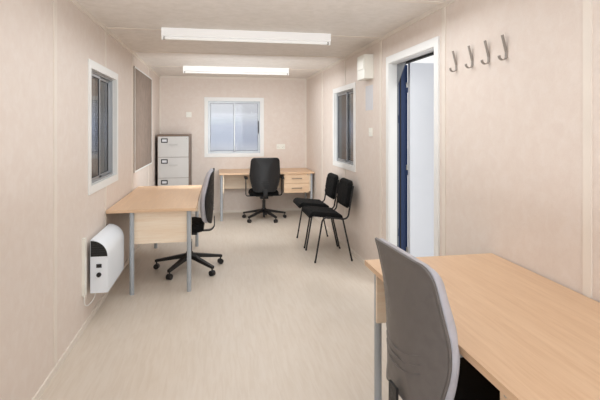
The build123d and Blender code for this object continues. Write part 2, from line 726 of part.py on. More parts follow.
with BuildPart() as cover_strips:
    low = FLOOR + SKIRTING_H
    high = CEILING - CORNICE_W
    for y in strip_places():
        for side in (1, -1):
            block(side * X_IN, side * (X_IN - STRIP_T), y - STRIP_W / 2, y + STRIP_W / 2, low, high)
        block(-(X_IN - CORNICE_T), X_IN - CORNICE_T, y - STRIP_W / 2, y + STRIP_W / 2,
              CEILING - STRIP_T, CEILING)
    for plane in WINDOWS:
        plate(plane, -TRIM_T, 0, TRIM_OUT_W, TRIM_OUT_H, mode=Mode.SUBTRACT)
    block(X_IN - ARCHITRAVE_T, X_IN, DOOR_NEAR - ARCH_OUT, DOOR_FAR + ARCH_OUT, FLOOR,
          DOOR_TOP + ARCH_OUT, Mode.SUBTRACT)
    block(-X_IN, -X_IN + BOARD_T, BOARD_Y0, BOARD_Y1, FLOOR + BOARD_Z0, FLOOR + BOARD_Z1, Mode.SUBTRACT)
save(cover_strips, "cover_strips")

with BuildPart() as edge_trims:
    ring(Plane.XY, CEILING - CORNICE_W, CEILING, (ROOM_W, ROOM_L),
         (ROOM_W - 2 * CORNICE_T, ROOM_L - 2 * CORNICE_T))
    for sx in (1, -1):
        for sy in (1, -1):
            block(sx * X_IN, sx * (X_IN - CORNER_W), sy * Y_IN, sy * (Y_IN - SKIRTING_T),
                  FLOOR + SKIRTING_H, CEILING)
            block(sx * X_IN, sx * (X_IN - SKIRTING_T), sy * Y_IN, sy * (Y_IN - CORNER_W),
                  FLOOR + SKIRTING_H, CEILING)
    ring(Plane.XY, FLOOR, FLOOR + SKIRTING_H, (ROOM_W, ROOM_L),
         (ROOM_W - 2 * SKIRTING_T, ROOM_L - 2 * SKIRTING_T))
    block(X_IN - SKIRTING_T, X_IN, DOOR_NEAR - ARCH_OUT, DOOR_FAR + ARCH_OUT, FLOOR,
          FLOOR + SKIRTING_H, Mode.SUBTRACT)
save(edge_trims, "edge_trims")

# Lights: a body across the ceiling with a bare tube held under it

with BuildPart() as light_bodies:
    for y in LIGHT_YS:
        block(LIGHT_X - LIGHT_L / 2, LIGHT_X + LIGHT_L / 2, y - LIGHT_W / 2, y + LIGHT_W / 2,
              CEILING - LIGHT_H, CEILING)
        for side in (1, -1):
            cap_w = LIGHT_W / 2 + END_CAP_PROUD
            block(LIGHT_X + side * LIGHT_L / 2, LIGHT_X + side * (LIGHT_L / 2 - END_CAP_T),
                  y - cap_w, y + cap_w, CEILING - LIGHT_H - END_CAP_PROUD, CEILING)
            x = LIGHT_X + side * (LIGHT_L / 2 - HOLDER_T / 2)
            block(x - HOLDER_T / 2, x + HOLDER_T / 2, y - HOLDER_W / 2, y + HOLDER_W / 2,
                  CEILING - TUBE_DROP - TUBE_R, CEILING - LIGHT_H)
save(light_bodies, "light_bodies")

with BuildPart() as light_tubes:
    for y in LIGHT_YS:
        with Locations(Location((LIGHT_X, y, CEILING - TUBE_DROP), (0, 90, 0))):
            Cylinder(TUBE_R, LIGHT_L - 2 * HOLDER_T)
save(light_tubes, "light_tubes")

# Heater: a case with a rounded front top, an end vent, its switch and knob

HEATER_BACK = -X_IN + HEATER_STANDOFF
HEATER_TOP = FLOOR + HEATER_Z0 + HEATER_H
HEATER_FOOT = FLOOR + HEATER_Z0

with BuildPart() as heater_body:
    with BuildSketch(Plane.XZ.offset(-HEATER_Y0)) as heater_profile:
        with BuildLine():
            knee = HEATER_TOP - HEATER_D
            front = HEATER_BACK + HEATER_D
            Line((HEATER_BACK, HEATER_TOP), (HEATER_BACK, HEATER_FOOT))
            Line((HEATER_BACK, HEATER_FOOT), (front, HEATER_FOOT))
            Line((front, HEATER_FOOT), (front, knee))
            RadiusArc((front, knee), (HEATER_BACK, HEATER_TOP), -HEATER_D)
        make_face()
    extrude(heater_profile.sketch, amount=-HEATER_L)
    for share in (0.25, 0.75):
        y = HEATER_Y0 + share * HEATER_L
        block(-X_IN, HEATER_BACK, y - HEATER_BRACKET / 2, y + HEATER_BRACKET / 2,
              HEATER_FOOT + HEATER_BRACKET, HEATER_TOP - HEATER_BRACKET)
save(heater_body, "heater_body")

with BuildPart() as heater_fittings:
    vent_x = HEATER_BACK + VENT_INSET
    vent_z = HEATER_TOP - HEATER_D
    vent_r = HEATER_D - 2 * VENT_INSET
    with BuildSketch(Plane.XZ.offset(-HEATER_Y0)) as vent_profile:
        with BuildLine():
            Line((vent_x, vent_z + vent_r), (vent_x, vent_z))
            Line((vent_x, vent_z), (vent_x + vent_r, vent_z))
            RadiusArc((vent_x + vent_r, vent_z), (vent_x, vent_z + vent_r), -vent_r)
        make_face()
    extrude(vent_profile.sketch, amount=VENT_T)
    for i in range(LOUVRE_COUNT):
        rise = (i + 0.7) * LOUVRE_PITCH
        reach = math.sqrt(vent_r ** 2 - (rise + LOUVRE_W) ** 2) - LOUVRE_W
        block(vent_x + LOUVRE_W, vent_x + reach, HEATER_Y0 - VENT_T - LOUVRE_T, HEATER_Y0 - VENT_T,
              vent_z + rise, vent_z + rise + LOUVRE_W)
    mid = HEATER_BACK + HEATER_D / 2
    block(mid - ROCKER_W / 2, mid + ROCKER_W / 2, HEATER_Y0 - ROCKER_T, HEATER_Y0,
          HEATER_FOOT + ROCKER_Z - ROCKER_H / 2, HEATER_FOOT + ROCKER_Z + ROCKER_H / 2)
    with BuildSketch(Plane.XZ.offset(-HEATER_Y0)) as knob:
        with Locations((mid, HEATER_FOOT + KNOB_Z)):
            Circle(KNOB_R)
    extrude(knob.sketch, amount=KNOB_T)
save(heater_fittings, "heater_fittings")

# Cable outlet on the wall and the heater's lead, which hangs in a loop to the case

with BuildPart() as cable_outlet:
    block(-X_IN, -X_IN + TRUNK_D, TRUNK_Y - TRUNK_W / 2, TRUNK_Y + TRUNK_W / 2,
          FLOOR + TRUNK_Z0, FLOOR + TRUNK_Z0 + TRUNK_H)
    with Locations((-X_IN + TRUNK_D / 2, TRUNK_Y, FLOOR + TRUNK_Z0 - CORD_GLAND_H / 2)):
        Cylinder(CORD_GLAND_R, CORD_GLAND_H)
save(cable_outlet, "cable_outlet")

# Points along the lead: distance from the left wall, from the heater's near end, and height
CORD_ROUTE = [
    (11.0, -103.0, 236.0),
    (11.0, -103.0, 209.0),
    (13.0, -98.0, 186.0),
    (17.0, -84.0, 169.0),
    (22.0, -60.0, 159.0),
    (28.0, -30.0, 158.0),
    (35.0, 0.0, 164.0),
    (43.0, 28.0, 178.0),
    (48.0, 43.0, 199.0),
    (48.0, 43.0, 225.0),
]
CORD_PATH = [(-X_IN + out, HEATER_Y0 + along, FLOOR + up) for out, along, up in CORD_ROUTE]


def corner_radii(points, share=0.45):
    """The arc radius for each corner of a route, as large as its two runs allow."""
    radii = []
    for before, here, after in zip(points, points[1:], points[2:]):
        a = Vector(*here) - Vector(*before)
        b = Vector(*after) - Vector(*here)
        turn = math.radians(a.get_angle(b))
        radii.append(share * min(a.length, b.length) / math.tan(turn / 2))
    return radii


with BuildPart() as heater_cord:
    radii = corner_radii(CORD_PATH)
    with BuildLine() as cord_path:
        FilletPolyline(*CORD_PATH, radius=radii)
    with BuildSketch(Plane(origin=cord_path.line @ 0, z_dir=cord_path.line % 0)):
        Circle(CORD_R)
    sweep()
print("cord radii", [round(r) for r in radii], "length", round(cord_path.wire().length, 1))
save(heater_cord, "heater_cord")

# Fittings on the walls

with BuildPart() as consumer_unit:
    unit_plane = wall_plane(UNIT_Y, FLOOR + UNIT_Z, (1, 0))
    flap_w, flap_h, flap_t = UNIT_FLAP
    plate(unit_plane, -UNIT_D, 0, UNIT_W, UNIT_H)
    plate(unit_plane, -UNIT_D - flap_t, -UNIT_D, flap_w, flap_h, 0, UNIT_H / 8)
save(consumer_unit, "consumer_unit")

with BuildPart() as switch_plates:
    plate(wall_plane(SWITCH_Y, FLOOR + SWITCH_Z, (1, 0)), -SWITCH_D, 0, SWITCH_W, SWITCH_H)
    plate(wall_plane(PLATE_X, FLOOR + PLATE_Z, (0, 1)), -SWITCH_D, 0, SWITCH_W, SWITCH_H)
    plate(wall_plane(SOCKET_X, FLOOR + SOCKET_Z, (0, 1)), -SOCKET_D, 0, SOCKET_W, SWITCH_H)
save(switch_plates, "switch_plates")

BOARD_PLANE = wall_plane((BOARD_Y0 + BOARD_Y1) / 2, FLOOR + (BOARD_Z0 + BOARD_Z1) / 2, (-1, 0))
BOARD_SIZE = (BOARD_Y1 - BOARD_Y0, BOARD_Z1 - BOARD_Z0)

with BuildPart() as notice_board:
    plate(BOARD_PLANE, -BOARD_T + BOARD_EDGE_T, 0, *BOARD_SIZE)
save(notice_board, "notice_board")

with BuildPart() as notice_board_edge:
    ring(BOARD_PLANE, -BOARD_T, -BOARD_T + BOARD_EDGE_T, BOARD_SIZE,
         [length - 2 * BOARD_EDGE_W for length in BOARD_SIZE])
save(notice_board_edge, "notice_board_edge")

with BuildPart() as notice_sheet:
    plate(wall_plane(SHEET_Y, FLOOR + SHEET_Z, (1, 0)), -SHEET_PAPER_T, 0, SHEET_W, SHEET_H)
save(notice_sheet, "notice_sheet")

with BuildPart() as coat_hooks:
    lean, lean_h = HOOK_LEAN
    hook_x = X_IN - HOOK_T / 2
    for y in HOOK_YS:
        with BuildSketch(Plane.XZ.offset(-y - HOOK_W / 2)) as hook:
            with BuildLine() as hook_line:
                Polyline((hook_x - lean, FLOOR + HOOK_TOP), (hook_x, FLOOR + HOOK_TOP - lean_h),
                         (hook_x, FLOOR + HOOK_FOOT + HOOK_LOOP))
                JernArc((hook_x, FLOOR + HOOK_FOOT + HOOK_LOOP), (0, -1), (HOOK_REACH - HOOK_T) / 2, -200)
            trace(hook_line.line, line_width=HOOK_T)
        extrude(hook.sketch, amount=HOOK_W)
save(coat_hooks, "coat_hooks")

# Desks: each in its own plane, x along the desk, y from the user's edge to the back


def desk_planes():
    """Left desk, far desk and near desk, each at the middle of its user's edge on the floor."""
    return [Plane(origin=(-SIDE_DESK_EDGE, LEFT_DESK_Y, FLOOR), x_dir=(0, 1, 0), z_dir=(0, 0, 1)),
            Plane(origin=(FAR_DESK_X, FAR_DESK_EDGE, FLOOR), x_dir=(1, 0, 0), z_dir=(0, 0, 1)),
            Plane(origin=(SIDE_DESK_EDGE, NEAR_DESK_Y, FLOOR), x_dir=(0, -1, 0), z_dir=(0, 0, 1))]


DESKS = list(zip(desk_planes(), (LEFT_DESK_L, FAR_DESK_L, NEAR_DESK_L)))
PEDESTAL_DESKS = DESKS[1:]


def desk_block(plane, x0, x1, y0, y1, z0, z1, mode=Mode.ADD):
    """A rectangular solid in a desk's own plane."""
    plate(plane, z0, z1, abs(x1 - x0), abs(y1 - y0), (x0 + x1) / 2, (y0 + y1) / 2, mode)


with BuildPart() as desk_tops:
    for plane, length in DESKS:
        desk_block(plane, -length / 2, length / 2, 0, DESK_W, DESK_H - DESK_T, DESK_H)
save(desk_tops, "desk_tops")

with BuildPart() as desk_legs:
    for plane, length in DESKS:
        leg_x = length / 2 - LEG_INSET_END
        with BuildSketch(plane) as leg_profile:
            for sx in (1, -1):
                for y in (LEG_INSET_FRONT, DESK_W - LEG_INSET_BACK):
                    with Locations((sx * leg_x, y)):
                        Circle(LEG_R)
        extrude(leg_profile.sketch, amount=DESK_H - DESK_T)
save(desk_legs, "desk_legs")

with BuildPart() as desk_panels:
    low = DESK_H - DESK_T - PANEL_H
    high = DESK_H - DESK_T
    rear = DESK_W - LEG_INSET_BACK
    for plane, length in DESKS:
        side_x = length / 2 - LEG_INSET_END - LEG_R - PANEL_GAP
        for sx in (1, -1):
            desk_block(plane, sx * side_x, sx * (side_x - PANEL_T), LEG_INSET_FRONT - LEG_R, rear + LEG_R,
                       low, high)
        desk_block(plane, -side_x, side_x, rear - PANEL_T / 2, rear + PANEL_T / 2, low, high)
save(desk_panels, "desk_panels")

PED_TOP = DESK_H - DESK_T
PED_LOW = PED_TOP - PEDESTAL_H


def pedestal_sides(length):
    """A pedestal's two sides along its desk, the outer one beside the end panel."""
    outer = length / 2 - LEG_INSET_END - LEG_R - PANEL_GAP - PANEL_T - PEDESTAL_GAP
    return outer - PEDESTAL_W, outer


with BuildPart() as desk_pedestals:
    for plane, length in PEDESTAL_DESKS:
        x0, x1 = pedestal_sides(length)
        desk_block(plane, x0, x1, PEDESTAL_SETBACK + FRONT_T, PEDESTAL_SETBACK + PEDESTAL_D, PED_LOW, PED_TOP)
save(desk_pedestals, "desk_pedestals")

with BuildPart() as desk_drawers:
    face_y = PEDESTAL_SETBACK
    grip_y = PEDESTAL_SETBACK - HANDLE_REACH
    for plane, length in PEDESTAL_DESKS:
        x0, x1 = pedestal_sides(length)
        mid = (x0 + x1) / 2
        for i in range(2):
            z0 = PED_LOW + i * PEDESTAL_H / 2 + DRAWER_REVEAL
            z1 = z0 + PEDESTAL_H / 2 - 2 * DRAWER_REVEAL
            bar_z = (z0 + z1) / 2
            desk_block(plane, x0 + DRAWER_REVEAL, x1 - DRAWER_REVEAL, face_y, face_y + FRONT_T, z0, z1)
            for end in (1, -1):
                x = mid + end * HANDLE_L / 2
                desk_block(plane, x - HANDLE_R, x + HANDLE_R, grip_y, face_y,
                           bar_z - HANDLE_R, bar_z + HANDLE_R)
            desk_block(plane, mid - HANDLE_L / 2, mid + HANDLE_L / 2, grip_y, grip_y + 2 * HANDLE_R,
                       bar_z - HANDLE_R, bar_z + HANDLE_R)
save(desk_drawers, "desk_drawers")

# Swivel chairs: each in its own plane, x the way that it faces


def chair_plane(chair):
    """A chair's plane on the floor under its column."""
    return Plane(origin=(chair[0], chair[1], FLOOR)).rotated((0, 0, chair[2]))


def star_planes(chair):
    """A plane on the floor for each arm of a chair's star, x out along the arm."""
    turns = [chair[4] + 360.0 / STAR_ARMS * i for i in range(STAR_ARMS)]
    return [Plane(origin=(chair[0], chair[1], FLOOR)).rotated((0, 0, turn)) for turn in turns]


def facing_plane(plane, forward, height):
    """A plane across the way that another faces, its y axis up."""
    return Plane(origin=plane.from_local_coords(Vector(forward, 0, height)), x_dir=plane.y_dir,
                 z_dir=plane.x_dir)


def side_plane(plane, aside):
    """A plane along the way that another faces, its y axis up, this far to its right."""
    return Plane(origin=plane.from_local_coords(Vector(0, -aside, 0)), x_dir=plane.x_dir,
                 z_dir=plane.y_dir * -1)


def disc(plane, start, end, radius):
    """A round bar along a plane's normal."""
    with BuildSketch(plane.offset(start)) as outline:
        Circle(radius)
    extrude(outline.sketch, amount=end - start)


with BuildPart() as chair_bases:
    for chair in SWIVEL_CHAIRS:
        plane = chair_plane(chair)
        disc(plane, HUB_Z, HUB_TOP, HUB_R)
        disc(plane, LIFT_Z, HUB_Z, LIFT_R)
        for place in star_planes(chair):
            with BuildSketch(facing_plane(place, 0, STAR_ROOT[2])) as root:
                Rectangle(STAR_ROOT[0], STAR_ROOT[1])
            with BuildSketch(facing_plane(place, STAR_REACH + STAR_TIP[0] / 2, STAR_TIP[2])) as tip:
                Rectangle(STAR_TIP[0], STAR_TIP[1])
            loft([root.sketch, tip.sketch], ruled=True)
save(chair_bases, "chair_bases")

# The stem's outer edge meets the sloping underside of its arm
STAR_LOW = STAR_TIP[2] - STAR_TIP[1] / 2
STAR_FALL = (STAR_ROOT[2] - STAR_ROOT[1] / 2 - STAR_LOW) / (STAR_REACH + STAR_TIP[0] / 2)
STEM_TOP = STAR_LOW + STAR_FALL * (STAR_TIP[0] / 2 - CASTOR_STEM_R)

with BuildPart() as chair_castors:
    for chair in SWIVEL_CHAIRS:
        for place in star_planes(chair):
            centre = place.from_local_coords(Vector(STAR_REACH, 0, CASTOR_R))
            with BuildSketch(Plane(origin=centre, x_dir=place.x_dir, z_dir=place.y_dir)) as wheel:
                Circle(CASTOR_R)
            extrude(wheel.sketch, amount=CASTOR_W / 2, both=True)
            disc(Plane(origin=centre), 0, STEM_TOP - CASTOR_R, CASTOR_STEM_R)
save(chair_castors, "chair_castors")

with BuildPart() as chair_columns:
    for chair in SWIVEL_CHAIRS:
        plane = chair_plane(chair)
        pan_z = chair[3] - SEAT_T - PAN_T
        box_l, box_w, box_h = TILT_BOX
        disc(plane, HUB_TOP, SLEEVE_TOP, SLEEVE_R)
        disc(plane, SLEEVE_TOP, pan_z - box_h, PISTON_R)
        plate(plane, pan_z - box_h, pan_z, box_l, box_w)
        plate(plane, pan_z, pan_z + PAN_T, *PAN_SIZE, SEAT_FORWARD)
        strap_x = SHELL_REAR[0] - PAD_SEAT_GAP - STRAP_T / 2
        strap_z = pan_z - STRAP_T / 2
        with BuildSketch(side_plane(plane, STRAP_W / 2)) as strap:
            with BuildLine() as strap_line:
                FilletPolyline((0, strap_z), (strap_x, strap_z), (strap_x, chair[3] + STRAP_RISE),
                               radius=STRAP_BEND)
            trace(strap_line.line, line_width=STRAP_T)
        extrude(strap.sketch, amount=-STRAP_W)
save(chair_columns, "chair_columns")

with BuildPart() as chair_seats:
    for chair in SWIVEL_CHAIRS:
        with BuildSketch(chair_plane(chair).offset(chair[3] - SEAT_T)) as seat:
            with Locations((SEAT_FORWARD, 0)):
                RectangleRounded(SEAT_D, SEAT_W, SEAT_CORNER)
        extrude(seat.sketch, amount=SEAT_T)
save(chair_seats, "chair_seats")


def curved_back(chair, rear, rear_curve, front, front_curve, inset):
    """A part of a chair's back: lofted between curved levels, then trimmed to its outline."""
    plane = chair_plane(chair)
    with BuildPart() as slab:
        for height, r, rc, f, fc in zip(BACK_LEVELS, rear, rear_curve, front, front_curve):
            with BuildSketch(plane.offset(chair[3] + height)):
                with BuildLine():
                    ThreePointArc((r + rc, -BACK_SPAN), (r, 0), (r + rc, BACK_SPAN))
                    Line((r + rc, BACK_SPAN), (f + fc, BACK_SPAN))
                    ThreePointArc((f + fc, BACK_SPAN), (f, 0), (f + fc, -BACK_SPAN))
                    Line((f + fc, -BACK_SPAN), (r + rc, -BACK_SPAN))
                make_face()
        loft(ruled=True)
        with BuildSketch(facing_plane(plane, 0, chair[3])) as outline:
            right = [(x - inset, y + inset * (1 if y < 0 else -1)) for x, y in BACK_OUTLINE]
            with BuildLine():
                Polyline(*right, *[(-x, y) for x, y in right[::-1]], close=True)
            make_face()
            bottom, middle, top = BACK_CORNERS
            fillet(outline.vertices().group_by(Axis.Y)[1], middle)
            fillet(outline.vertices().group_by(Axis.Y)[0], bottom - inset)
            fillet(outline.vertices().group_by(Axis.Y)[-1], top - inset)
        extrude(outline.sketch, amount=-SHELL_REAR[-1] * 2, both=True, mode=Mode.INTERSECT)
    return slab.part


SHELL_FRONT = [x + SHELL_T for x in SHELL_REAR]
PAD_REAR = [x + PAD_SEAT_GAP for x in SHELL_FRONT]

with BuildPart() as chair_shells:
    for chair in SWIVEL_CHAIRS:
        add(curved_back(chair, SHELL_REAR, SHELL_CURVE, SHELL_FRONT, SHELL_CURVE, 0.0))
save(chair_shells, "chair_shells")

with BuildPart() as chair_backs:
    for chair in SWIVEL_CHAIRS:
        add(curved_back(chair, PAD_REAR, SHELL_CURVE, PAD_FRONT, PAD_CURVE, PAD_INSET))
save(chair_backs, "chair_backs")

with BuildPart() as chair_arms:
    chair = SWIVEL_CHAIRS[ARM_CHAIR]
    plane = chair_plane(chair)
    pan_z = chair[3] - SEAT_T - PAN_T / 2
    arm_y = SEAT_W / 2 + ARM_OUT
    arm_top = chair[3] + ARM_RISE
    for side in (1, -1):
        with BuildSketch(facing_plane(plane, -ARM_BACK - ARM_POST_W / 2, 0)) as post:
            with BuildLine() as post_line:
                FilletPolyline((side * PAN_SIZE[1] / 2, pan_z), (side * arm_y, pan_z),
                               (side * arm_y, arm_top), radius=ARM_BEND)
            trace(post_line.line, line_width=ARM_POST_T)
        extrude(post.sketch, amount=ARM_POST_W)
        with BuildSketch(plane.offset(arm_top)) as rest:
            with Locations((-ARM_BACK, side * arm_y)):
                SlotOverall(ARM_PAD_L, ARM_PAD_W)
        extrude(rest.sketch, amount=ARM_PAD_T)
save(chair_arms, "chair_arms")

# Visitor chairs: bent tube frames with padded seats and backs


def tube(points, radius, bend):
    """A round tube along a filleted run of points."""
    with BuildLine() as path:
        FilletPolyline(*points, radius=bend)
    with BuildSketch(Plane(origin=path.line @ 0, z_dir=path.line % 0)) as section:
        Circle(radius)
    sweep(section.sketch, path=path.line)


RAIL_RUN = Vector(VISITOR_BACK_BEND[0] - VISITOR_FRONT_BEND[0], 0,
                  VISITOR_BACK_BEND[1] - VISITOR_FRONT_BEND[1])
UPRIGHT_RUN = Vector(VISITOR_TOP[0] - VISITOR_BACK_BEND[0], 0, VISITOR_TOP[1] - VISITOR_BACK_BEND[1])
TUBE_Y = VISITOR_W / 2 - VISITOR_TUBE_R
PAD_HALF = TUBE_Y - VISITOR_TUBE_R - PAD_SEAT_GAP


def rail_plane(y):
    """A plane across a visitor chair at its front bend, x back along the side rail, its y axis up."""
    return Plane(origin=(VISITOR_X + VISITOR_FRONT_BEND[0], y, FLOOR + VISITOR_FRONT_BEND[1]),
                 x_dir=RAIL_RUN.normalized(), z_dir=(0, -1, 0))


with BuildPart() as visitor_frames:
    for y in VISITOR_YS:
        for side in (1, -1):
            front = [(VISITOR_X + x, y + side * TUBE_Y, FLOOR + z)
                     for x, z in (VISITOR_FRONT_FOOT, VISITOR_FRONT_BEND, VISITOR_BACK_BEND, VISITOR_TOP)]
            tube(front, VISITOR_TUBE_R, VISITOR_BEND)
            rear_top = Vector(*front[1]) + RAIL_RUN * VISITOR_REAR_SHARE
            rear_x, rear_z = VISITOR_REAR_FOOT
            rear_foot = Vector(VISITOR_X + rear_x, y + side * TUBE_Y, FLOOR + rear_z)
            disc(Plane(origin=rear_foot, z_dir=rear_top - rear_foot), 0, (rear_top - rear_foot).length,
                 VISITOR_TUBE_R)
            for foot in (Vector(*front[0]), rear_foot):
                disc(Plane(origin=foot), 0, 2 * VISITOR_TUBE_R, VISITOR_TUBE_R + 1.5)
        strap_w, strap_t = VISITOR_STRAP
        with BuildSketch(rail_plane(y + TUBE_Y)) as straps:
            for u in (2 * strap_w, RAIL_RUN.length * VISITOR_REAR_SHARE):
                with Locations((u, -VISITOR_TUBE_R - strap_t / 4)):
                    Rectangle(strap_w, strap_t)
        extrude(straps.sketch, amount=2 * TUBE_Y)
    block(X_OUT, -X_OUT, -Y_OUT, Y_OUT, DECK_TOP, FLOOR, Mode.SUBTRACT)
save(visitor_frames, "visitor_frames")

with BuildPart() as visitor_pads:
    low = -VISITOR_TUBE_R + VISITOR_STRAP[1] / 4 + PAD_SEAT_GAP
    high = low + VISITOR_SEAT_T
    nose, rear_end = VISITOR_SEAT
    upright = UPRIGHT_RUN.normalized()
    for y in VISITOR_YS:
        with BuildSketch(rail_plane(y + PAD_HALF)) as seat_profile:
            with BuildLine():
                Polyline((rear_end, low), (rear_end, high), (nose, high), (nose, low - VISITOR_NOSE),
                         (nose + VISITOR_NOSE, low - VISITOR_NOSE), (nose + 2 * VISITOR_NOSE, low),
                         close=True)
            make_face()
            fillet(seat_profile.vertices().sort_by(Axis.X)[:2].sort_by(Axis.Y)[-1:], 1.5 * VISITOR_NOSE)
        extrude(seat_profile.sketch, amount=2 * PAD_HALF)
        back_place = Plane(origin=(VISITOR_X + VISITOR_BACK_BEND[0], y, FLOOR + VISITOR_BACK_BEND[1]),
                           x_dir=(0, -1, 0), z_dir=(-upright.Z, 0, upright.X))
        with BuildSketch(back_place.offset(-VISITOR_TUBE_R)) as back_profile:
            with Locations((0, VISITOR_BACK_RISE + VISITOR_BACK_H / 2)):
                RectangleRounded(2 * PAD_HALF, VISITOR_BACK_H, VISITOR_BACK_CORNER)
        extrude(back_profile.sketch, amount=VISITOR_BACK_T)
save(visitor_pads, "visitor_pads")

# Filing cabinet in the far left corner

CAB_BACK = Y_IN - SKIRTING_T - CABINET_GAP
CAB_FRONT = CAB_BACK - CABINET_D
CAB_X0 = CABINET_X - CABINET_W / 2
CAB_X1 = CABINET_X + CABINET_W / 2

with BuildPart() as filing_cabinet:
    block(CAB_X0, CAB_X1, CAB_FRONT + DRAWER_T, CAB_BACK, FLOOR, FLOOR + CABINET_H)
save(filing_cabinet, "filing_cabinet")

with BuildPart() as filing_drawers:
    pitch = (CABINET_H - DRAWER_PLINTH - DRAWER_TOP_GAP) / DRAWERS
    frame_w, frame_h, frame_t = LABEL_FRAME
    pull_w, pull_h, pull_t = PULL
    front_w = CABINET_W - 2 * DRAWER_SIDE
    for i in range(DRAWERS):
        z0 = FLOOR + DRAWER_PLINTH + i * pitch
        z1 = z0 + pitch - DRAWER_GAP
        face = Plane(origin=(CABINET_X, CAB_FRONT, (z0 + z1) / 2), x_dir=(1, 0, 0), z_dir=(0, -1, 0))
        top = (z1 - z0) / 2
        plate(face, -DRAWER_T, 0, front_w, z1 - z0)
        ring(face, 0, frame_t, (frame_w, frame_h), (frame_w - 2 * LABEL_RIM, frame_h - 2 * LABEL_RIM),
             LABEL_X, top - LABEL_DROP)
        plate(face, 0, pull_t, pull_w, pull_h, 0, top - PULL_DROP)
save(filing_drawers, "filing_drawers")
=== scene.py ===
# %% [markdown]
# # A portable site cabin, dressed
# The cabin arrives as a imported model: every wall, desk and hinge already has its real size and place.
# This lesson gives each of those pieces its finish, and models what a solid modeller leaves plain,
# such as the upholstery, the heater's lead, and the small fittings that repeat.

import math

import bmesh
import bpy
import numpy as np
from mathutils import Matrix, Vector


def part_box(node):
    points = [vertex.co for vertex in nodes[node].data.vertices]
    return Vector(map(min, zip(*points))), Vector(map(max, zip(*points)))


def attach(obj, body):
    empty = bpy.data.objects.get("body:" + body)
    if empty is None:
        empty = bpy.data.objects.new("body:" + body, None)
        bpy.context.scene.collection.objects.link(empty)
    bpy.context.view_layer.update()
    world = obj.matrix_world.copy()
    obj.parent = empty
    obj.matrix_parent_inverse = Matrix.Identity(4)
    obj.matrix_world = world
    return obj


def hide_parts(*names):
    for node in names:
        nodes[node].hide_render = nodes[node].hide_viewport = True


def placed(name, data):
    """A new object in the scene."""
    made = bpy.data.objects.new(name, data)
    bpy.context.scene.collection.objects.link(made)
    return made


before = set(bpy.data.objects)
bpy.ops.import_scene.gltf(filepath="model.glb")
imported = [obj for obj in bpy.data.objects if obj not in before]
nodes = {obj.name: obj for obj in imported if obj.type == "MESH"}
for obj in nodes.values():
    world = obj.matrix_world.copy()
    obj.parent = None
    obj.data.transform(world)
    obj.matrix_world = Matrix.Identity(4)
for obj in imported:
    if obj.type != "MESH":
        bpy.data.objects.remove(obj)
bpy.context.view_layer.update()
ROOM_LOW, ROOM_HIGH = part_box("floor_vinyl")
FLOOR_Z = ROOM_HIGH.z
CEILING_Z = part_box("ceiling_board")[0].z
print(len(nodes), "pieces came with the frame; the floor finish is at", round(FLOOR_Z, 3), "m")

# %% [markdown]
# The camera stands where a person would, near one end of the room, at eye height and level, so that
# the walls' upright edges stay upright. A level camera puts the horizon in the middle of the picture,
# and the small shift moves it up to where it was.

# %% Camera
EYE = Vector((-0.2875, -3.022, FLOOR_Z + 1.427))
TURN_RIGHT = 10.226
LENS = 27.39
SHIFT_UP = -0.121
camera_lens = bpy.data.cameras.new("viewpoint")
camera_lens.sensor_width = 36.0
camera_lens.lens = LENS
camera_lens.shift_y = SHIFT_UP
camera = placed("viewpoint", camera_lens)
camera.location = EYE
camera.rotation_euler = (math.radians(90), 0, math.radians(-TURN_RIGHT))
bpy.context.scene.camera = camera
print("camera", LENS, "mm lens, turned", TURN_RIGHT, "degrees")

# %% [markdown]
# The heater's lead is the one free cord. It drops out of the wall trunking, hangs in a short loop and
# goes up into the underside of the case. It is a smooth curve drawn along listed points, because
# a cord never has a corner, and it ends inside the heater.

# %% Heater lead
LEAD_RADIUS = 0.0035
LEAD_ROUTE = [
    (-1.209, 0.397, 0.441), (-1.209, 0.397, 0.414), (-1.207, 0.402, 0.391), (-1.203, 0.416, 0.374),
    (-1.198, 0.440, 0.364), (-1.192, 0.470, 0.363), (-1.185, 0.500, 0.369), (-1.177, 0.528, 0.383),
    (-1.172, 0.543, 0.404), (-1.172, 0.543, 0.430)]


def cord_curve(name, route, radius):
    """A round cord along a smooth spline whose control points are the route.

    The bevel is one metre, and each point's own radius brings it down to the cord's. The curve's box
    counts those radii, so with the usual radius of one it would come out a metre too large."""
    curve = bpy.data.curves.new(name, "CURVE")
    curve.dimensions = "3D"
    curve.bevel_depth = 1.0
    curve.bevel_resolution = 5
    curve.resolution_u = 16
    spline = curve.splines.new("NURBS")
    spline.points.add(len(route) - 1)
    for point, place in zip(spline.points, route):
        point.co = (*place, 1.0)
        point.radius = radius
    spline.order_u = 3
    spline.use_endpoint_u = True
    return placed(name, curve)


lead = cord_curve("heater_lead", LEAD_ROUTE, LEAD_RADIUS)
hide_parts("heater_cord")
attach(lead, "cabin")
print("heater lead with", len(LEAD_ROUTE), "points")

# %% [markdown]
# The cabin stands on a plain pale studio floor. Outside, an even white sky and one soft sun show the
# ribs of the steel. Inside, the room would be dark under its closed roof, so flat lamps that the
# camera doesn't see light it: three just under the ceiling for the tubes, one at the near end and one
# that shines up for a flash, and one for the far wall.

# %% Studio floor and light
STUDIO_HALF = 30.0
SUN_SPREAD = 25
SUN_TILT = (42, 35)


def plain_colour(name, colour):
    material = bpy.data.materials.new(name)
    material.use_nodes = True
    shader = material.node_tree.nodes["Principled BSDF"]
    shader.inputs["Base Color"].default_value = colour
    shader.inputs["Roughness"].default_value = 0.9
    return material


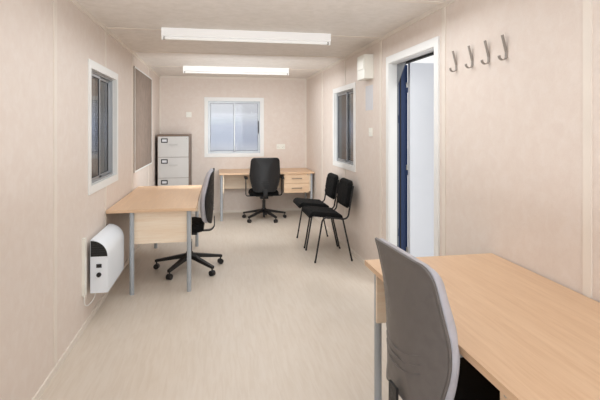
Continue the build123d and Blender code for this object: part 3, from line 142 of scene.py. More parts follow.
studio_mesh = bpy.data.meshes.new("studio_floor")
half = STUDIO_HALF
studio_mesh.from_pydata([(-half, -half, 0), (half, -half, 0), (half, half, 0), (-half, half, 0)], [],
                        [(0, 1, 2, 3)])
studio_floor = placed("studio_floor", studio_mesh)
studio_floor.data.materials.append(plain_colour("studio_floor", (0.8, 0.8, 0.8, 1.0)))

bpy.context.scene.view_settings.view_transform = "Standard"
world = bpy.data.worlds.new("studio_sky")
bpy.context.scene.world = world
world.use_nodes = True
sky_nodes = world.node_tree.nodes
sky_links = world.node_tree.links
sky = sky_nodes["Background"]
rays = sky_nodes.new("ShaderNodeLightPath")
seen = rays.outputs["Is Camera Ray"]
for ray in ("Is Glossy Ray", "Is Transmission Ray"):
    either = sky_nodes.new("ShaderNodeMath")
    either.operation = "MAXIMUM"
    sky_links.new(seen, either.inputs[0])
    sky_links.new(rays.outputs[ray], either.inputs[1])
    seen = either.outputs[0]
strength = sky_nodes.new("ShaderNodeMapRange")
strength.inputs["To Min"].default_value = 0.7
strength.inputs["To Max"].default_value = 1.0
sky_links.new(seen, strength.inputs["Value"])
sky_links.new(strength.outputs["Result"], sky.inputs["Strength"])
sky.inputs["Color"].default_value = (1.0, 1.0, 1.0, 1.0)

sun_light = bpy.data.lights.new("soft_sun", "SUN")
sun_light.energy = 1.1
sun_light.angle = math.radians(SUN_SPREAD)
sun = placed("soft_sun", sun_light)
sun.rotation_euler = (math.radians(SUN_TILT[0]), 0, math.radians(SUN_TILT[1]))


def room_lamp(name, place, size, power, aim, colour=(0.92, 0.97, 1.0)):
    """A flat lamp that the camera doesn't see; aim is the way that it shines."""
    light = bpy.data.lights.new(name, "AREA")
    light.shape = "RECTANGLE"
    light.size, light.size_y = size
    light.energy = power
    light.color = colour
    lamp = placed(name, light)
    lamp.location = place
    lamp.rotation_euler = Vector(aim).to_track_quat("-Z", "Y").to_euler()
    lamp.visible_camera = False


LAMP_DROP = 0.12
DOWN = (0, 0, -1)
for name, y, power in (("lamp_near", -2.6, 4.0), ("lamp_middle", 0.4, 23.0), ("lamp_far", 2.9, 17.0)):
    room_lamp(name, (0.15, y, CEILING_Z - LAMP_DROP), (1.7, 2.2), power, DOWN)
FLASH = (0.88, 0.945, 1.0)
room_lamp("lamp_bounce", (-0.15, -4.35, FLOOR_Z + 1.5), (1.6, 1.7), 42.0, (0.26, 1, 0.05), FLASH)
room_lamp("lamp_ceiling", (0, -1.9, FLOOR_Z + 1.0), (1.6, 3.4), 16.0, (0, 0, 1), FLASH)
room_lamp("lamp_far_wall", (0, 2.3, FLOOR_Z + 1.3), (1.6, 0.9), 19.0, (0, 1, 0))
print("studio floor, sky, sun and room lamps set")

# %% [markdown]
# A finish is more than a colour. Each one here starts from a plain shader and adds the small
# variation that the real surface has: mottling, grain or weave in the colour, a little change in
# gloss, and a fine bump. All patterns sit on the object's own coordinates, in metres, so they are
# true to scale and stay put when the door swings.

# %% Helpers for finishes


def shade(red, green, blue):
    """A colour as the eye sees it, 0 to 255, as the linear values that a shader works in."""
    values = [value / 255 for value in (red, green, blue)]
    linear = [v / 12.92 if v <= 0.04045 else ((v + 0.055) / 1.055) ** 2.4 for v in values]
    return (*linear, 1.0)


def start_finish(name, colour, roughness, metallic=0.0):
    """A new material with plain values; returns it with its node tree and its shader."""
    material = bpy.data.materials.new(name)
    material.use_nodes = True
    shader = material.node_tree.nodes["Principled BSDF"]
    shader.inputs["Base Color"].default_value = colour
    shader.inputs["Roughness"].default_value = roughness
    shader.inputs["Metallic"].default_value = metallic
    return material, material.node_tree, shader


def on_object(tree, stretch=(1.0, 1.0, 1.0)):
    """Object coordinates in metres, stretched where a pattern runs along a piece."""
    place = tree.nodes.new("ShaderNodeTexCoord")
    mapping = tree.nodes.new("ShaderNodeMapping")
    mapping.inputs["Scale"].default_value = stretch
    tree.links.new(place.outputs["Object"], mapping.inputs["Vector"])
    return mapping.outputs["Vector"]


def cloud(tree, vector, scale, detail=3.0, distortion=0.0):
    """Soft random patches, about this many to a metre."""
    noise = tree.nodes.new("ShaderNodeTexNoise")
    noise.inputs["Scale"].default_value = scale
    noise.inputs["Detail"].default_value = detail
    noise.inputs["Distortion"].default_value = distortion
    tree.links.new(vector, noise.inputs["Vector"])
    return noise.outputs["Fac"]


def ramp(tree, source, stops):
    """Colours, or greys, at places along a pattern's value."""
    node = tree.nodes.new("ShaderNodeValToRGB")
    elements = node.color_ramp.elements
    while len(elements) < len(stops):
        elements.new(0.5)
    for element, (position, colour) in zip(elements, stops):
        element.position = position
        element.color = colour if len(colour) == 4 else (*colour, 1.0)
    tree.links.new(source, node.inputs["Fac"])
    return node.outputs["Color"]


def spread(tree, source, low, high, start=0.35, end=0.65):
    """A number that goes from low to high as the source goes from start to end."""
    node = tree.nodes.new("ShaderNodeMapRange")
    node.inputs["From Min"].default_value = start
    node.inputs["From Max"].default_value = end
    node.inputs["To Min"].default_value = low
    node.inputs["To Max"].default_value = high
    tree.links.new(source, node.inputs["Value"])
    return node.outputs["Result"]


def feed(tree, socket, value):
    """Set a socket to a fixed value, or link a node's output to it."""
    if isinstance(value, bpy.types.NodeSocket):
        tree.links.new(value, socket)
    else:
        socket.default_value = value


def combine(tree, kind, operation, first, second=None):
    """One step of number or vector arithmetic; the second value may be left out."""
    node = tree.nodes.new(kind)
    node.operation = operation
    feed(tree, node.inputs[0], first)
    if second is not None:
        feed(tree, node.inputs[1], second)
    return node.outputs[0]


def axes(tree, vector):
    """The X, Y and Z of a vector."""
    split = tree.nodes.new("ShaderNodeSeparateXYZ")
    tree.links.new(vector, split.inputs[0])
    return split.outputs


def blend_colours(tree, factor, under, over, blend="MIX"):
    """One colour laid over another. Each may be a fixed colour or a node's output."""
    node = tree.nodes.new("ShaderNodeMix")
    node.data_type = "RGBA"
    node.blend_type = blend
    for socket, value in ((node.inputs[0], factor), (node.inputs[6], under), (node.inputs[7], over)):
        feed(tree, socket, value)
    return node.outputs[2]


def colour_surface(tree, shader, colour, tone):
    """Colour a surface with a colour darkened by a tone."""
    tree.links.new(blend_colours(tree, 1.0, colour, tone, "MULTIPLY"), shader.inputs["Base Color"])


def vary_gloss(tree, shader, source, low, high):
    """Roughness that goes from low to high with a pattern."""
    tree.links.new(spread(tree, source, low, high), shader.inputs["Roughness"])


def emboss(tree, shader, source, depth):
    """Bump from a pattern, added to any bump that the shader has; depth is in metres."""
    bump = tree.nodes.new("ShaderNodeBump")
    bump.inputs["Distance"].default_value = depth
    tree.links.new(source, bump.inputs["Height"])
    normal = shader.inputs["Normal"]
    if normal.is_linked:
        tree.links.new(normal.links[0].from_socket, bump.inputs["Normal"])
    tree.links.new(bump.outputs["Normal"], normal)


def paint_nodes(material, *names):
    """Put one finish on CAD pieces."""
    for name in names:
        mesh = nodes[name].data
        mesh.materials.clear()
        mesh.materials.append(material)


print("helpers ready")

# %% [markdown]
# The room is lined with board that has a printed vinyl face: a warm beige with pinker and paler
# mottling a few centimetres across, and a skin like fine leather. Two sizes of noise give the
# mottling, and the ceiling has the same board in a greyer print.

# %% Wall and ceiling board


def mottled_board(name, deep, middle, pale, patch=16.0):
    """Vinyl-faced lining board."""
    material, tree, shader = start_finish(name, middle, 0.5)
    place = on_object(tree)
    broad = cloud(tree, place, patch, 4.0, 0.6)
    print_colour = ramp(tree, broad, [(0.34, deep), (0.52, middle), (0.68, pale)])
    fine = cloud(tree, place, patch * 6, 3.0, 1.2)
    flecks = ramp(tree, fine, [(0.38, (0.98, 0.975, 0.968)), (0.55, (1.0, 1.0, 1.0))])
    colour_surface(tree, shader, print_colour, flecks)
    vary_gloss(tree, shader, fine, 0.42, 0.58)
    emboss(tree, shader, fine, 0.0006)
    emboss(tree, shader, cloud(tree, place, 700.0, 2.0), 0.0002)
    return material


wall_board = mottled_board("wall_board_vinyl", shade(225, 211, 201), shade(227, 214, 204),
                           shade(229, 217, 208))
ceiling_board = mottled_board("ceiling_board_vinyl", shade(226, 219, 211), shade(231, 224, 217),
                              shade(235, 228, 221), 14.0)
paint_nodes(wall_board, "left_wall", "far_wall", "near_wall", "right_wall_far", "right_wall_near",
            "right_wall_over_door")
paint_nodes(ceiling_board, "ceiling_board")
print("walls and ceiling faced")

# %% [markdown]
# The floor is a sheet of beige vinyl with a faint print of pale wood, running along the room. Its
# gloss changes a little where feet have rubbed it, which only shows where light grazes it.

# %% Vinyl floor


def vinyl_floor():
    material, tree, shader = start_finish("floor_vinyl_sheet", shade(214, 202, 188), 0.35)
    grain = cloud(tree, on_object(tree, (9.0, 0.9, 9.0)), 5.0, 5.0, 0.8)
    streaks = ramp(tree, grain, [(0.33, shade(210, 197, 182)), (0.5, shade(214, 202, 188)),
                                 (0.68, shade(217, 206, 193))])
    wear = cloud(tree, on_object(tree), 1.6, 3.0, 0.5)
    worn = ramp(tree, wear, [(0.3, (0.97, 0.965, 0.96)), (0.65, (1.0, 1.0, 1.0))])
    colour_surface(tree, shader, streaks, worn)
    vary_gloss(tree, shader, wear, 0.30, 0.48)
    emboss(tree, shader, grain, 0.0002)
    return material


paint_nodes(vinyl_floor(), "floor_vinyl")
print("floor laid")

# %% [markdown]
# Trims, cases and plates are smooth plastic or sprayed metal. What tells them apart is gloss and the
# faint texture of the skin: orange peel in sprayed paint, a finer grain in moulded plastic.

# %% Painted metal, plastic and board edges


def inside(tree, low, high):
    """1 inside a box given by two corners in metres, and 0 outside it."""
    place = tree.nodes.new("ShaderNodeTexCoord").outputs["Object"]
    middle = (Vector(low) + Vector(high)) / 2
    offset = combine(tree, "ShaderNodeVectorMath", "SUBTRACT", place, middle)
    offset = combine(tree, "ShaderNodeVectorMath", "ABSOLUTE", offset)
    past = axes(tree, combine(tree, "ShaderNodeVectorMath", "SUBTRACT", offset, Vector(high) - middle))
    furthest = combine(tree, "ShaderNodeMath", "MAXIMUM", past["X"], past["Y"])
    furthest = combine(tree, "ShaderNodeMath", "MAXIMUM", furthest, past["Z"])
    return combine(tree, "ShaderNodeMath", "LESS_THAN", furthest, 0.0)


def with_accents(tree, colour, accents):
    """A colour with other colours in some boxes: each accent is a colour and two corners."""
    for accent, low, high in accents:
        colour = blend_colours(tree, inside(tree, low, high), colour, accent)
    return colour


def sprayed(name, colour, roughness, peel=220.0, metallic=0.0, soil=0.94, accents=()):
    """Paint or smooth plastic: faint orange peel, a slight unevenness of colour and gloss."""
    material, tree, shader = start_finish(name, colour, roughness, metallic)
    colour = with_accents(tree, colour, accents)
    place = on_object(tree)
    uneven = cloud(tree, place, 3.5, 4.0, 0.4)
    tone = ramp(tree, uneven, [(0.3, (soil, soil, soil)), (0.6, (1.0, 1.0, 1.0))])
    colour_surface(tree, shader, colour, tone)
    vary_gloss(tree, shader, uneven, roughness * 0.88, min(1.0, roughness * 1.15))
    emboss(tree, shader, cloud(tree, place, peel, 2.0), 0.0001)
    return material


def moulded(name, colour, roughness, grain=900.0, depth=0.00025):
    """Moulded plastic with a fine pebbled skin."""
    material, tree, shader = start_finish(name, colour, roughness)
    place = on_object(tree)
    pebbles = tree.nodes.new("ShaderNodeTexVoronoi")
    pebbles.inputs["Scale"].default_value = grain
    tree.links.new(place, pebbles.inputs["Vector"])
    scuffs = cloud(tree, place, 30.0, 4.0, 0.5)
    tone = ramp(tree, scuffs, [(0.35, (0.86, 0.86, 0.86)), (0.65, (1.0, 1.0, 1.0))])
    colour_surface(tree, shader, colour, tone)
    vary_gloss(tree, shader, scuffs, roughness * 0.85, roughness * 1.15)
    emboss(tree, shader, pebbles.outputs["Distance"], depth)
    return material


WIDE = 9.0
FRAME_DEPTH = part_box("door_frame")[0].x
LEAF_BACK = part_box("door_leaf")[1].y
CABINET_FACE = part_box("filing_drawers")[1].y - 0.018
LABEL_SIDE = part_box("filing_drawers")[0].x + 0.158
RIM_END = CABINET_FACE - 0.0003
DRAWER_RIM = (shade(34, 33, 34), (-WIDE, CABINET_FACE - 0.004, 0), (LABEL_SIDE, RIM_END, WIDE))
DRAWER_PULL = (shade(190, 187, 183), (LABEL_SIDE, CABINET_FACE - WIDE, 0), (WIDE, RIM_END, WIDE))
# The stop strip of the blue door frame is grey: painted shade, the look of the frame's stop step in shadow.
STOP_PAINTED_SHADE = (shade(118, 122, 128), (0, -WIDE, 0), (FRAME_DEPTH + 0.016, WIDE, WIDE))
LEAF_BLUE = (shade(40, 62, 104), (0, LEAF_BACK - 0.0006, 0), (WIDE, WIDE, WIDE))

base_steel = sprayed("base_frame_paint", shade(62, 66, 72), 0.5, 160.0, soil=0.8)
shell_paint = sprayed("shell_paint", shade(54, 82, 130), 0.42, 260.0, soil=0.9)
roof_paint = sprayed("roof_sheet_paint", shade(186, 190, 192), 0.55, 200.0, soil=0.85)
cream_trim = sprayed("cream_trim", shade(233, 223, 212), 0.42, 400.0)
white_trim = sprayed("white_trim", shade(238, 238, 236), 0.32, 300.0, soil=0.97)
door_blue = sprayed("door_frame_paint", shade(40, 62, 104), 0.34, 240.0, soil=0.86, accents=[STOP_PAINTED_SHADE])
door_face = sprayed("door_leaf_paint", shade(229, 232, 237), 0.45, 240.0, soil=0.97, accents=[LEAF_BLUE])
glowing_batten_case = sprayed("batten_enamel_painted_glow", shade(248, 248, 247), 0.35, 400.0, soil=0.98)
# The batten case glows a little: painted light, standing for the tube's light falling on it.
batten_glow_shader = glowing_batten_case.node_tree.nodes["Principled BSDF"]
batten_glow_shader.inputs["Emission Color"].default_value = shade(250, 250, 250)
batten_glow_shader.inputs["Emission Strength"].default_value = 0.2
heater_white = sprayed("heater_enamel", shade(240, 246, 253), 0.38, 300.0, soil=0.98)
white_plastic = sprayed("white_plastic", shade(241, 239, 230), 0.3, 500.0, soil=0.97)
leg_grey = sprayed("desk_leg_paint", shade(172, 178, 184), 0.42, 300.0, 0.1)
frame_black = sprayed("chair_frame_paint", shade(20, 20, 22), 0.38, 400.0)
cabinet_body = sprayed("cabinet_paint_brown", shade(112, 92, 78), 0.42, 260.0)
cabinet_front = sprayed("cabinet_paint_grey", shade(198, 195, 192), 0.42, 260.0,
                        accents=[DRAWER_RIM, DRAWER_PULL])
black_plastic = moulded("black_plastic", shade(22, 22, 24), 0.45)
# The near chair's shell is paler than the others: partly a warm grey plastic, partly a painted highlight for
# the light its glossy back catches.
lit_taupe_plastic = moulded("lit_taupe_plastic", shade(104, 99, 97), 0.4)
lead_cover = sprayed("lead_cover", shade(232, 230, 226), 0.45, 900.0)
lead.data.materials.append(lead_cover)

paint_nodes(base_steel, "base_side_rails", "base_cross_members", "fork_pockets")
paint_nodes(shell_paint, "corner_posts", "wall_cladding", "roof_capping", "lifting_eyes")
paint_nodes(roof_paint, "roof")
paint_nodes(cream_trim, "cover_strips", "edge_trims")
paint_nodes(white_trim, "window_trims", "door_lining", "door_architrave", "notice_board_edge")
paint_nodes(door_blue, "door_frame")
paint_nodes(door_face, "door_leaf")
paint_nodes(heater_white, "heater_body")
paint_nodes(white_plastic, "cable_outlet", "consumer_unit", "switch_plates")
paint_nodes(leg_grey, "desk_legs")
paint_nodes(frame_black, "visitor_frames")
paint_nodes(cabinet_body, "filing_cabinet")
paint_nodes(cabinet_front, "filing_drawers")
paint_nodes(black_plastic, "heater_fittings", "chair_bases", "chair_castors", "chair_columns",
            "chair_shells", "chair_arms")
print("paint and plastic done")

# %% [markdown]
# The window frames are bare extruded aluminium, with fine lines along the extrusion. Hinges and
# handles are brushed steel. Both are metals with a directional scratch, which is noise stretched hard
# along one axis. The coat hooks are duller, and take a sprayed finish.

# %% Aluminium, bright steel and glass


def drawn_metal(name, colour, roughness, stretch, scratch=0.00005):
    """Metal with fine lines that run along the axis with the smallest stretch."""
    material, tree, shader = start_finish(name, colour, roughness, 1.0)
    lines = cloud(tree, on_object(tree, stretch), 60.0, 3.0)
    vary_gloss(tree, shader, lines, roughness * 0.75, roughness * 1.3)
    tone = ramp(tree, lines, [(0.3, (0.88, 0.88, 0.88)), (0.7, (1.0, 1.0, 1.0))])
    colour_surface(tree, shader, colour, tone)
    emboss(tree, shader, lines, scratch)
    return material


aluminium = drawn_metal("window_aluminium", shade(182, 184, 187), 0.45, (8.0, 8.0, 1.0))
bright_steel = drawn_metal("bright_steel", shade(196, 196, 194), 0.28, (6.0, 6.0, 1.0))


def pane(name, stops):
    """Glass coloured with a painted view and reflection: stops, from the sill up, are a height above the
    floor and a colour.
    """
    material, tree, shader = start_finish(name, stops[0][1], 0.02)
    shader.inputs["Transmission Weight"].default_value = 1.0
    shader.inputs["IOR"].default_value = 1.3
    place = on_object(tree)
    low, high = FLOOR_Z + stops[0][0], FLOOR_Z + stops[-1][0]
    height = spread(tree, axes(tree, place)["Z"], 0.0, 1.0, low, high)
    run = stops[-1][0] - stops[0][0]
    painted_view = ramp(tree, height, [((z - stops[0][0]) / run, colour) for z, colour in stops])
    tree.links.new(painted_view, shader.inputs["Base Color"])
    film = cloud(tree, place, 2.2, 3.0, 0.6)
    vary_gloss(tree, shader, film, 0.01, 0.05)
    return material


def tube_glass():
    """A lit tube: white glass that glows a little."""
    material, tree, shader = start_finish("tube_glass", shade(246, 246, 244), 0.25)
    shader.inputs["Emission Color"].default_value = shade(252, 252, 250)
    shader.inputs["Emission Strength"].default_value = 0.2
    coating = cloud(tree, on_object(tree), 18.0, 2.0)
    vary_gloss(tree, shader, coating, 0.2, 0.3)
    return material


hook_metal = sprayed("hook_metal", shade(150, 141, 133), 0.5, 400.0, 0.15)
paint_nodes(bright_steel, "door_hinges", "door_handles")
tube_finish = tube_glass()
print("metal and glass done")

# %% [markdown]
# The desks are board with a beech print. Beech shows long pale grain with short darker flecks, and
# the print runs along each top. The left and near desks run along the room and the far desk runs
# across it, so the finish turns its grain by place: one direction up to the far desk, another past
# it. Faces that look along the room turn theirs too.

# %% Beech desks
FAR_DESK_START = 3.6


def beech(name, deep, pale, accents=()):
    material, tree, shader = start_finish(name, pale, 0.38)
    along = on_object(tree, (15.0, 0.9, 15.0))
    across = on_object(tree, (0.9, 15.0, 15.0))
    past = combine(tree, "ShaderNodeMath", "GREATER_THAN", axes(tree, on_object(tree))["Y"],
                   FAR_DESK_START)
    surface = tree.nodes.new("ShaderNodeNewGeometry")
    side = combine(tree, "ShaderNodeVectorMath", "ABSOLUTE", surface.outputs["Normal"])
    turn = combine(tree, "ShaderNodeMath", "MAXIMUM", past, axes(tree, side)["Y"])
    choose = tree.nodes.new("ShaderNodeMix")
    choose.data_type = "VECTOR"
    for socket, value in ((0, turn), (4, along), (5, across)):
        tree.links.new(value, choose.inputs[socket])
    grain_place = choose.outputs[1]
    grain = cloud(tree, grain_place, 2.4, 6.0, 0.9)
    flecks = cloud(tree, grain_place, 11.0, 3.0, 0.3)
    colour = with_accents(tree, ramp(tree, grain, [(0.32, deep), (0.68, pale)]), accents)
    marks = ramp(tree, flecks, [(0.36, (0.965, 0.95, 0.93)), (0.5, (1.0, 1.0, 1.0))])
    colour_surface(tree, shader, colour, marks)
    vary_gloss(tree, shader, grain, 0.34, 0.44)
    emboss(tree, shader, flecks, 0.0001)
    return material


GRIP = shade(128, 116, 104)
FAR_FRONT = 4.0095
NEAR_FRONT = 0.5025
GRIPS = [(GRIP, (0, FAR_DESK_START, 0), (WIDE, FAR_FRONT, WIDE)),
         (GRIP, (0, -WIDE, 0), (NEAR_FRONT, 0, WIDE))]
top_beech = beech("desk_beech", shade(215, 178, 143), shade(226, 193, 160))
# The panels and pedestals are paler than the tops: partly a paler board, partly painted light for the flash
# on faces toward the camera.
pale_lit_beech = beech("desk_beech_pale_and_flash_lit", shade(240, 218, 192), shade(247, 231, 210))
drawer_beech = beech("desk_beech_drawers", shade(222, 188, 154), shade(232, 203, 172), GRIPS)
paint_nodes(top_beech, "desk_tops")
paint_nodes(pale_lit_beech, "desk_panels", "desk_pedestals")
paint_nodes(drawer_beech, "desk_drawers")
print("desks faced")

# %% [markdown]
# The upholstery is a tight woven cloth. A weave is waves crossing along all three axes, a little
# distorted so that it isn't too even, with a soft sheen on the paler cloths.

# %% Cloth


def woven(name, colour, thread=1500.0, sheen=0.25):
    material, tree, shader = start_finish(name, colour, 0.85)
    shader.inputs["Sheen Weight"].default_value = sheen
    place = on_object(tree)
    heights = []
    for direction in ("X", "Y", "Z"):
        wave = tree.nodes.new("ShaderNodeTexWave")
        wave.bands_direction = direction
        wave.inputs["Scale"].default_value = thread / 20
        wave.inputs["Distortion"].default_value = 0.6
        tree.links.new(place, wave.inputs["Vector"])
        heights.append(wave.outputs["Fac"])
    weave = combine(tree, "ShaderNodeMath", "ADD", heights[0], heights[1])
    weave = combine(tree, "ShaderNodeMath", "ADD", weave, heights[2])
    fade = cloud(tree, place, 12.0, 3.0)
    tone = ramp(tree, fade, [(0.3, (0.85, 0.85, 0.85)), (0.7, (1.1, 1.1, 1.1))])
    colour_surface(tree, shader, colour, tone)
    emboss(tree, shader, weave, 0.0003)
    return material


black_cloth = woven("black_cloth", shade(11, 11, 12), sheen=0.0)
black_cloth.node_tree.nodes["Principled BSDF"].inputs["Specular IOR Level"].default_value = 0.2
grey_cloth = woven("grey_cloth", shade(190, 188, 195), sheen=0.1)
board_felt = woven("board_felt", shade(140, 123, 111), 900.0, 0.05)
plain_paper = sprayed("plain_paper", shade(214, 214, 218), 0.8, 500.0)
deck_board = sprayed("deck_board", shade(176, 150, 116), 0.7, 300.0, soil=0.85)
paint_nodes(board_felt, "notice_board")
paint_nodes(plain_paper, "notice_sheet")
paint_nodes(deck_board, "floor_deck")
print("cloth done")

# %% [markdown]
# Several pieces below start from one solid of a CAD piece, or only need its box. A CAD mesh is loose
# triangles, so a copy is merged first, and then a walk along its edges gathers each solid's points.

# %% Helpers for shapes


def solids(name):
    """Each solid of a CAD piece, as its points and its faces."""
    mesh = bmesh.new()
    mesh.from_mesh(nodes[name].data)
    bmesh.ops.remove_doubles(mesh, verts=mesh.verts, dist=1e-6)
    mesh.verts.index_update()
    found = []
    waiting = set(mesh.verts)
    while waiting:
        stack = [waiting.pop()]
        group = list(stack)
        while stack:
            for edge in stack.pop().link_edges:
                for vert in edge.verts:
                    if vert in waiting:
                        waiting.remove(vert)
                        stack.append(vert)
                        group.append(vert)
        group.sort(key=lambda vert: vert.index)
        place = {vert: i for i, vert in enumerate(group)}
        faces = sorted([place[vert] for vert in face.verts] for face in mesh.faces if face.verts[0] in place)
        found.append(([vert.co.copy() for vert in group], faces))
    mesh.free()
    found.sort(key=lambda solid: tuple(round(v, 4) for v in sum(solid[0], Vector()) / len(solid[0])))
    return found


def corners_of(points):
    """Lowest and highest corner of some points."""
    return (Vector(min(p[i] for p in points) for i in range(3)),
            Vector(max(p[i] for p in points) for i in range(3)))


def joined(parts):
    """Several points-and-faces pairs as one."""
    points, faces = [], []
    for more_points, more_faces in parts:
        faces += [[i + len(points) for i in face] for face in more_faces]
        points += more_points
    return points, faces


def dress(piece, node=None):
    """Hide the CAD piece that a piece stands for, if any, and put the piece in the cabin's body."""
    if node:
        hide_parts(node)
    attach(piece, "cabin")


def new_piece(name, points, faces, material, smooth=True):
    """A piece from points and faces in the shared frame."""
    mesh = bpy.data.meshes.new(name)
    mesh.from_pydata([tuple(p) for p in points], [], faces)
    work = bmesh.new()
    work.from_mesh(mesh)
    bmesh.ops.recalc_face_normals(work, faces=work.faces)
    for face in work.faces:
        face.smooth = smooth
    work.to_mesh(mesh)
    work.free()
    piece = placed(name, mesh)
    piece.data.materials.append(material)
    return piece


def apply_modifiers(piece):
    """Put what the modifiers make into the mesh, and take them off."""
    bpy.context.view_layer.update()
    made = bpy.data.meshes.new_from_object(piece.evaluated_get(bpy.context.evaluated_depsgraph_get()))
    piece.modifiers.clear()
    piece.data = made


def soften_edges(piece, width, segments=2):
    """Round a hard-edged piece's corners a little."""
    bevel = piece.modifiers.new("round", "BEVEL")
    bevel.width = width
    bevel.segments = segments
    bevel.limit_method = "ANGLE"
    bevel.angle_limit = math.radians(50)
    apply_modifiers(piece)


def fitting(name, parts, material, node=None, width=0.0, segments=2, smooth=False):
    """A whole piece of several parts, its corners rounded by this width."""
    piece = new_piece(name, *joined(parts), material, smooth)
    if width:
        soften_edges(piece, width, segments)
    dress(piece, node)


print("helpers for shapes ready")

# %% [markdown]
# A swivel chair's back is a moulded shell, hollowed to the sitter, with a padded front. Both are one
# kind of form: an outline, filled with rings, laid on two curved surfaces. The curve across comes
# from a parabola, and the curve up the back from a smooth line through a few depths, so no crease
# shows where a flat-sided loft would have one.

# %% Swivel chair shells
CHAIRS = {"left": (-0.565, 1.697, 180.0, 0.48), "far": (0.42, 4.065, 90.0, 0.45),
          "near": (0.565, -1.49, 3.0, 0.48)}
BACK_HEIGHTS = (-0.012, 0.140, 0.290, 0.405, 0.522)
SHELL_DEPTH = np.polyfit(BACK_HEIGHTS, (-0.240, -0.240, -0.240, -0.249, -0.265), 3)
SHELL_HOLLOW = np.polyfit(BACK_HEIGHTS, (0.100, 0.092, 0.080, 0.062, 0.046), 2)
PAD_DEPTH = np.polyfit(BACK_HEIGHTS, (-0.155, -0.124, -0.114, -0.148, -0.200), 3)
PAD_HOLLOW = np.polyfit(BACK_HEIGHTS, (0.055, 0.014, -0.004, -0.002, 0.012), 3)
BACK_HALF_SPAN = 0.24
SHELL_THICKNESS = 0.012
BACK_CENTRE = (0.0, 0.27)
BACK_CORNERS = [(-0.172, 0.0, 0.085), (0.172, 0.0, 0.085), (0.229, 0.22, 0.45), (0.206, 0.52, 0.06),
                (-0.206, 0.52, 0.06), (-0.229, 0.22, 0.45)]


def rounded_outline(corners, grow=0.0, steps=9):
    """A closed outline through corners (across, up, radius), each rounded; grow moves it outward."""
    spots = [Vector((y + math.copysign(grow, y), z + (grow if z > BACK_CENTRE[1] else -grow * (z < 0.1))))
             for y, z, _ in corners]
    outline = []
    for i, spot in enumerate(spots):
        before = (spots[i - 1] - spot).normalized()
        after = (spots[(i + 1) % len(spots)] - spot).normalized()
        reach = corners[i][2] / math.tan(before.angle(after) / 2)
        start, end = spot + before * reach, spot + after * reach
        for step in range(steps):
            t = step / (steps - 1)
            outline.append((1 - t) ** 2 * start + 2 * t * (1 - t) * spot + t ** 2 * end)
    return outline


def shell_back(y, z):
    return np.polyval(SHELL_DEPTH, z) + np.polyval(SHELL_HOLLOW, z) * (y / BACK_HALF_SPAN) ** 2


def shell_front(y, z):
    return shell_back(y, z) + SHELL_THICKNESS


def pad_front(y, z):
    return np.polyval(PAD_DEPTH, z) + np.polyval(PAD_HOLLOW, z) * (y / BACK_HALF_SPAN) ** 2


def slab(outline, rear, front, rings=9, bulge=0.0, wall=1):
    """A closed plate: the outline filled with rings towards its middle, on two surfaces, and a wall
    between them in this many steps that bulges outward."""
    points, faces = [], []
    count = len(outline)
    for surface in (rear, front):
        base = len(points)
        for ring in range(rings):
            share = 1 - ring / rings
            for y, z in outline:
                y = BACK_CENTRE[0] + (y - BACK_CENTRE[0]) * share
                z = BACK_CENTRE[1] + (z - BACK_CENTRE[1]) * share
                points.append((surface(y, z), y, z))
        points.append((surface(*BACK_CENTRE), *BACK_CENTRE))
        for ring in range(rings - 1):
            for i in range(count):
                a = base + ring * count + i
                b = base + ring * count + (i + 1) % count
                faces.append((a, b, b + count, a + count))
        last = base + (rings - 1) * count
        faces += [(last + i, last + (i + 1) % count, len(points) - 1) for i in range(count)]
    half = len(points) // 2
    below = list(range(count))
    for step in range(1, wall + 1):
        share = step / wall
        above = [half + i for i in range(count)]
        if step < wall:
            above = [len(points) + i for i in range(count)]
            for i, (y, z) in enumerate(outline):
                out = Vector((y - BACK_CENTRE[0], z - BACK_CENTRE[1])).normalized()
                out *= bulge * math.sin(math.pi * share)
                x = points[i][0] * (1 - share) + points[half + i][0] * share
                points.append((x, y + out.x, z + out.y))
        faces += [(below[(i + 1) % count], below[i], above[i], above[(i + 1) % count])
                  for i in range(count)]
        below = above
    return points, faces


def chair_place(name):
    """Where a chair stands: x forward, y to its left, z up from its seat."""
    x, y, facing, seat = CHAIRS[name]
    return Matrix.Translation((x, y, FLOOR_Z + seat)) @ Matrix.Rotation(math.radians(facing), 4, "Z")


def bead(route, radius, closed=True):
    """A round bead along a route, as points and faces."""
    curve = bpy.data.curves.new("bead", "CURVE")
    curve.dimensions = "3D"
    curve.bevel_depth = radius
    curve.bevel_resolution = 3
    curve.use_fill_caps = not closed
    spline = curve.splines.new("POLY")
    spline.points.add(len(route) - 1)
    for point, place in zip(spline.points, route):
        point.co = (*place, 1.0)
    spline.use_cyclic_u = closed
    source = bpy.data.objects.new("bead", curve)
    made = bpy.data.meshes.new_from_object(source)
    work = bmesh.new()
    work.from_mesh(made)
    bmesh.ops.remove_doubles(work, verts=work.verts, dist=1e-5)
    work.verts.index_update()
    points = [vert.co.copy() for vert in work.verts]
    faces = [[vert.index for vert in face.verts] for face in work.faces]
    work.free()
    bpy.data.objects.remove(source)
    return points, faces


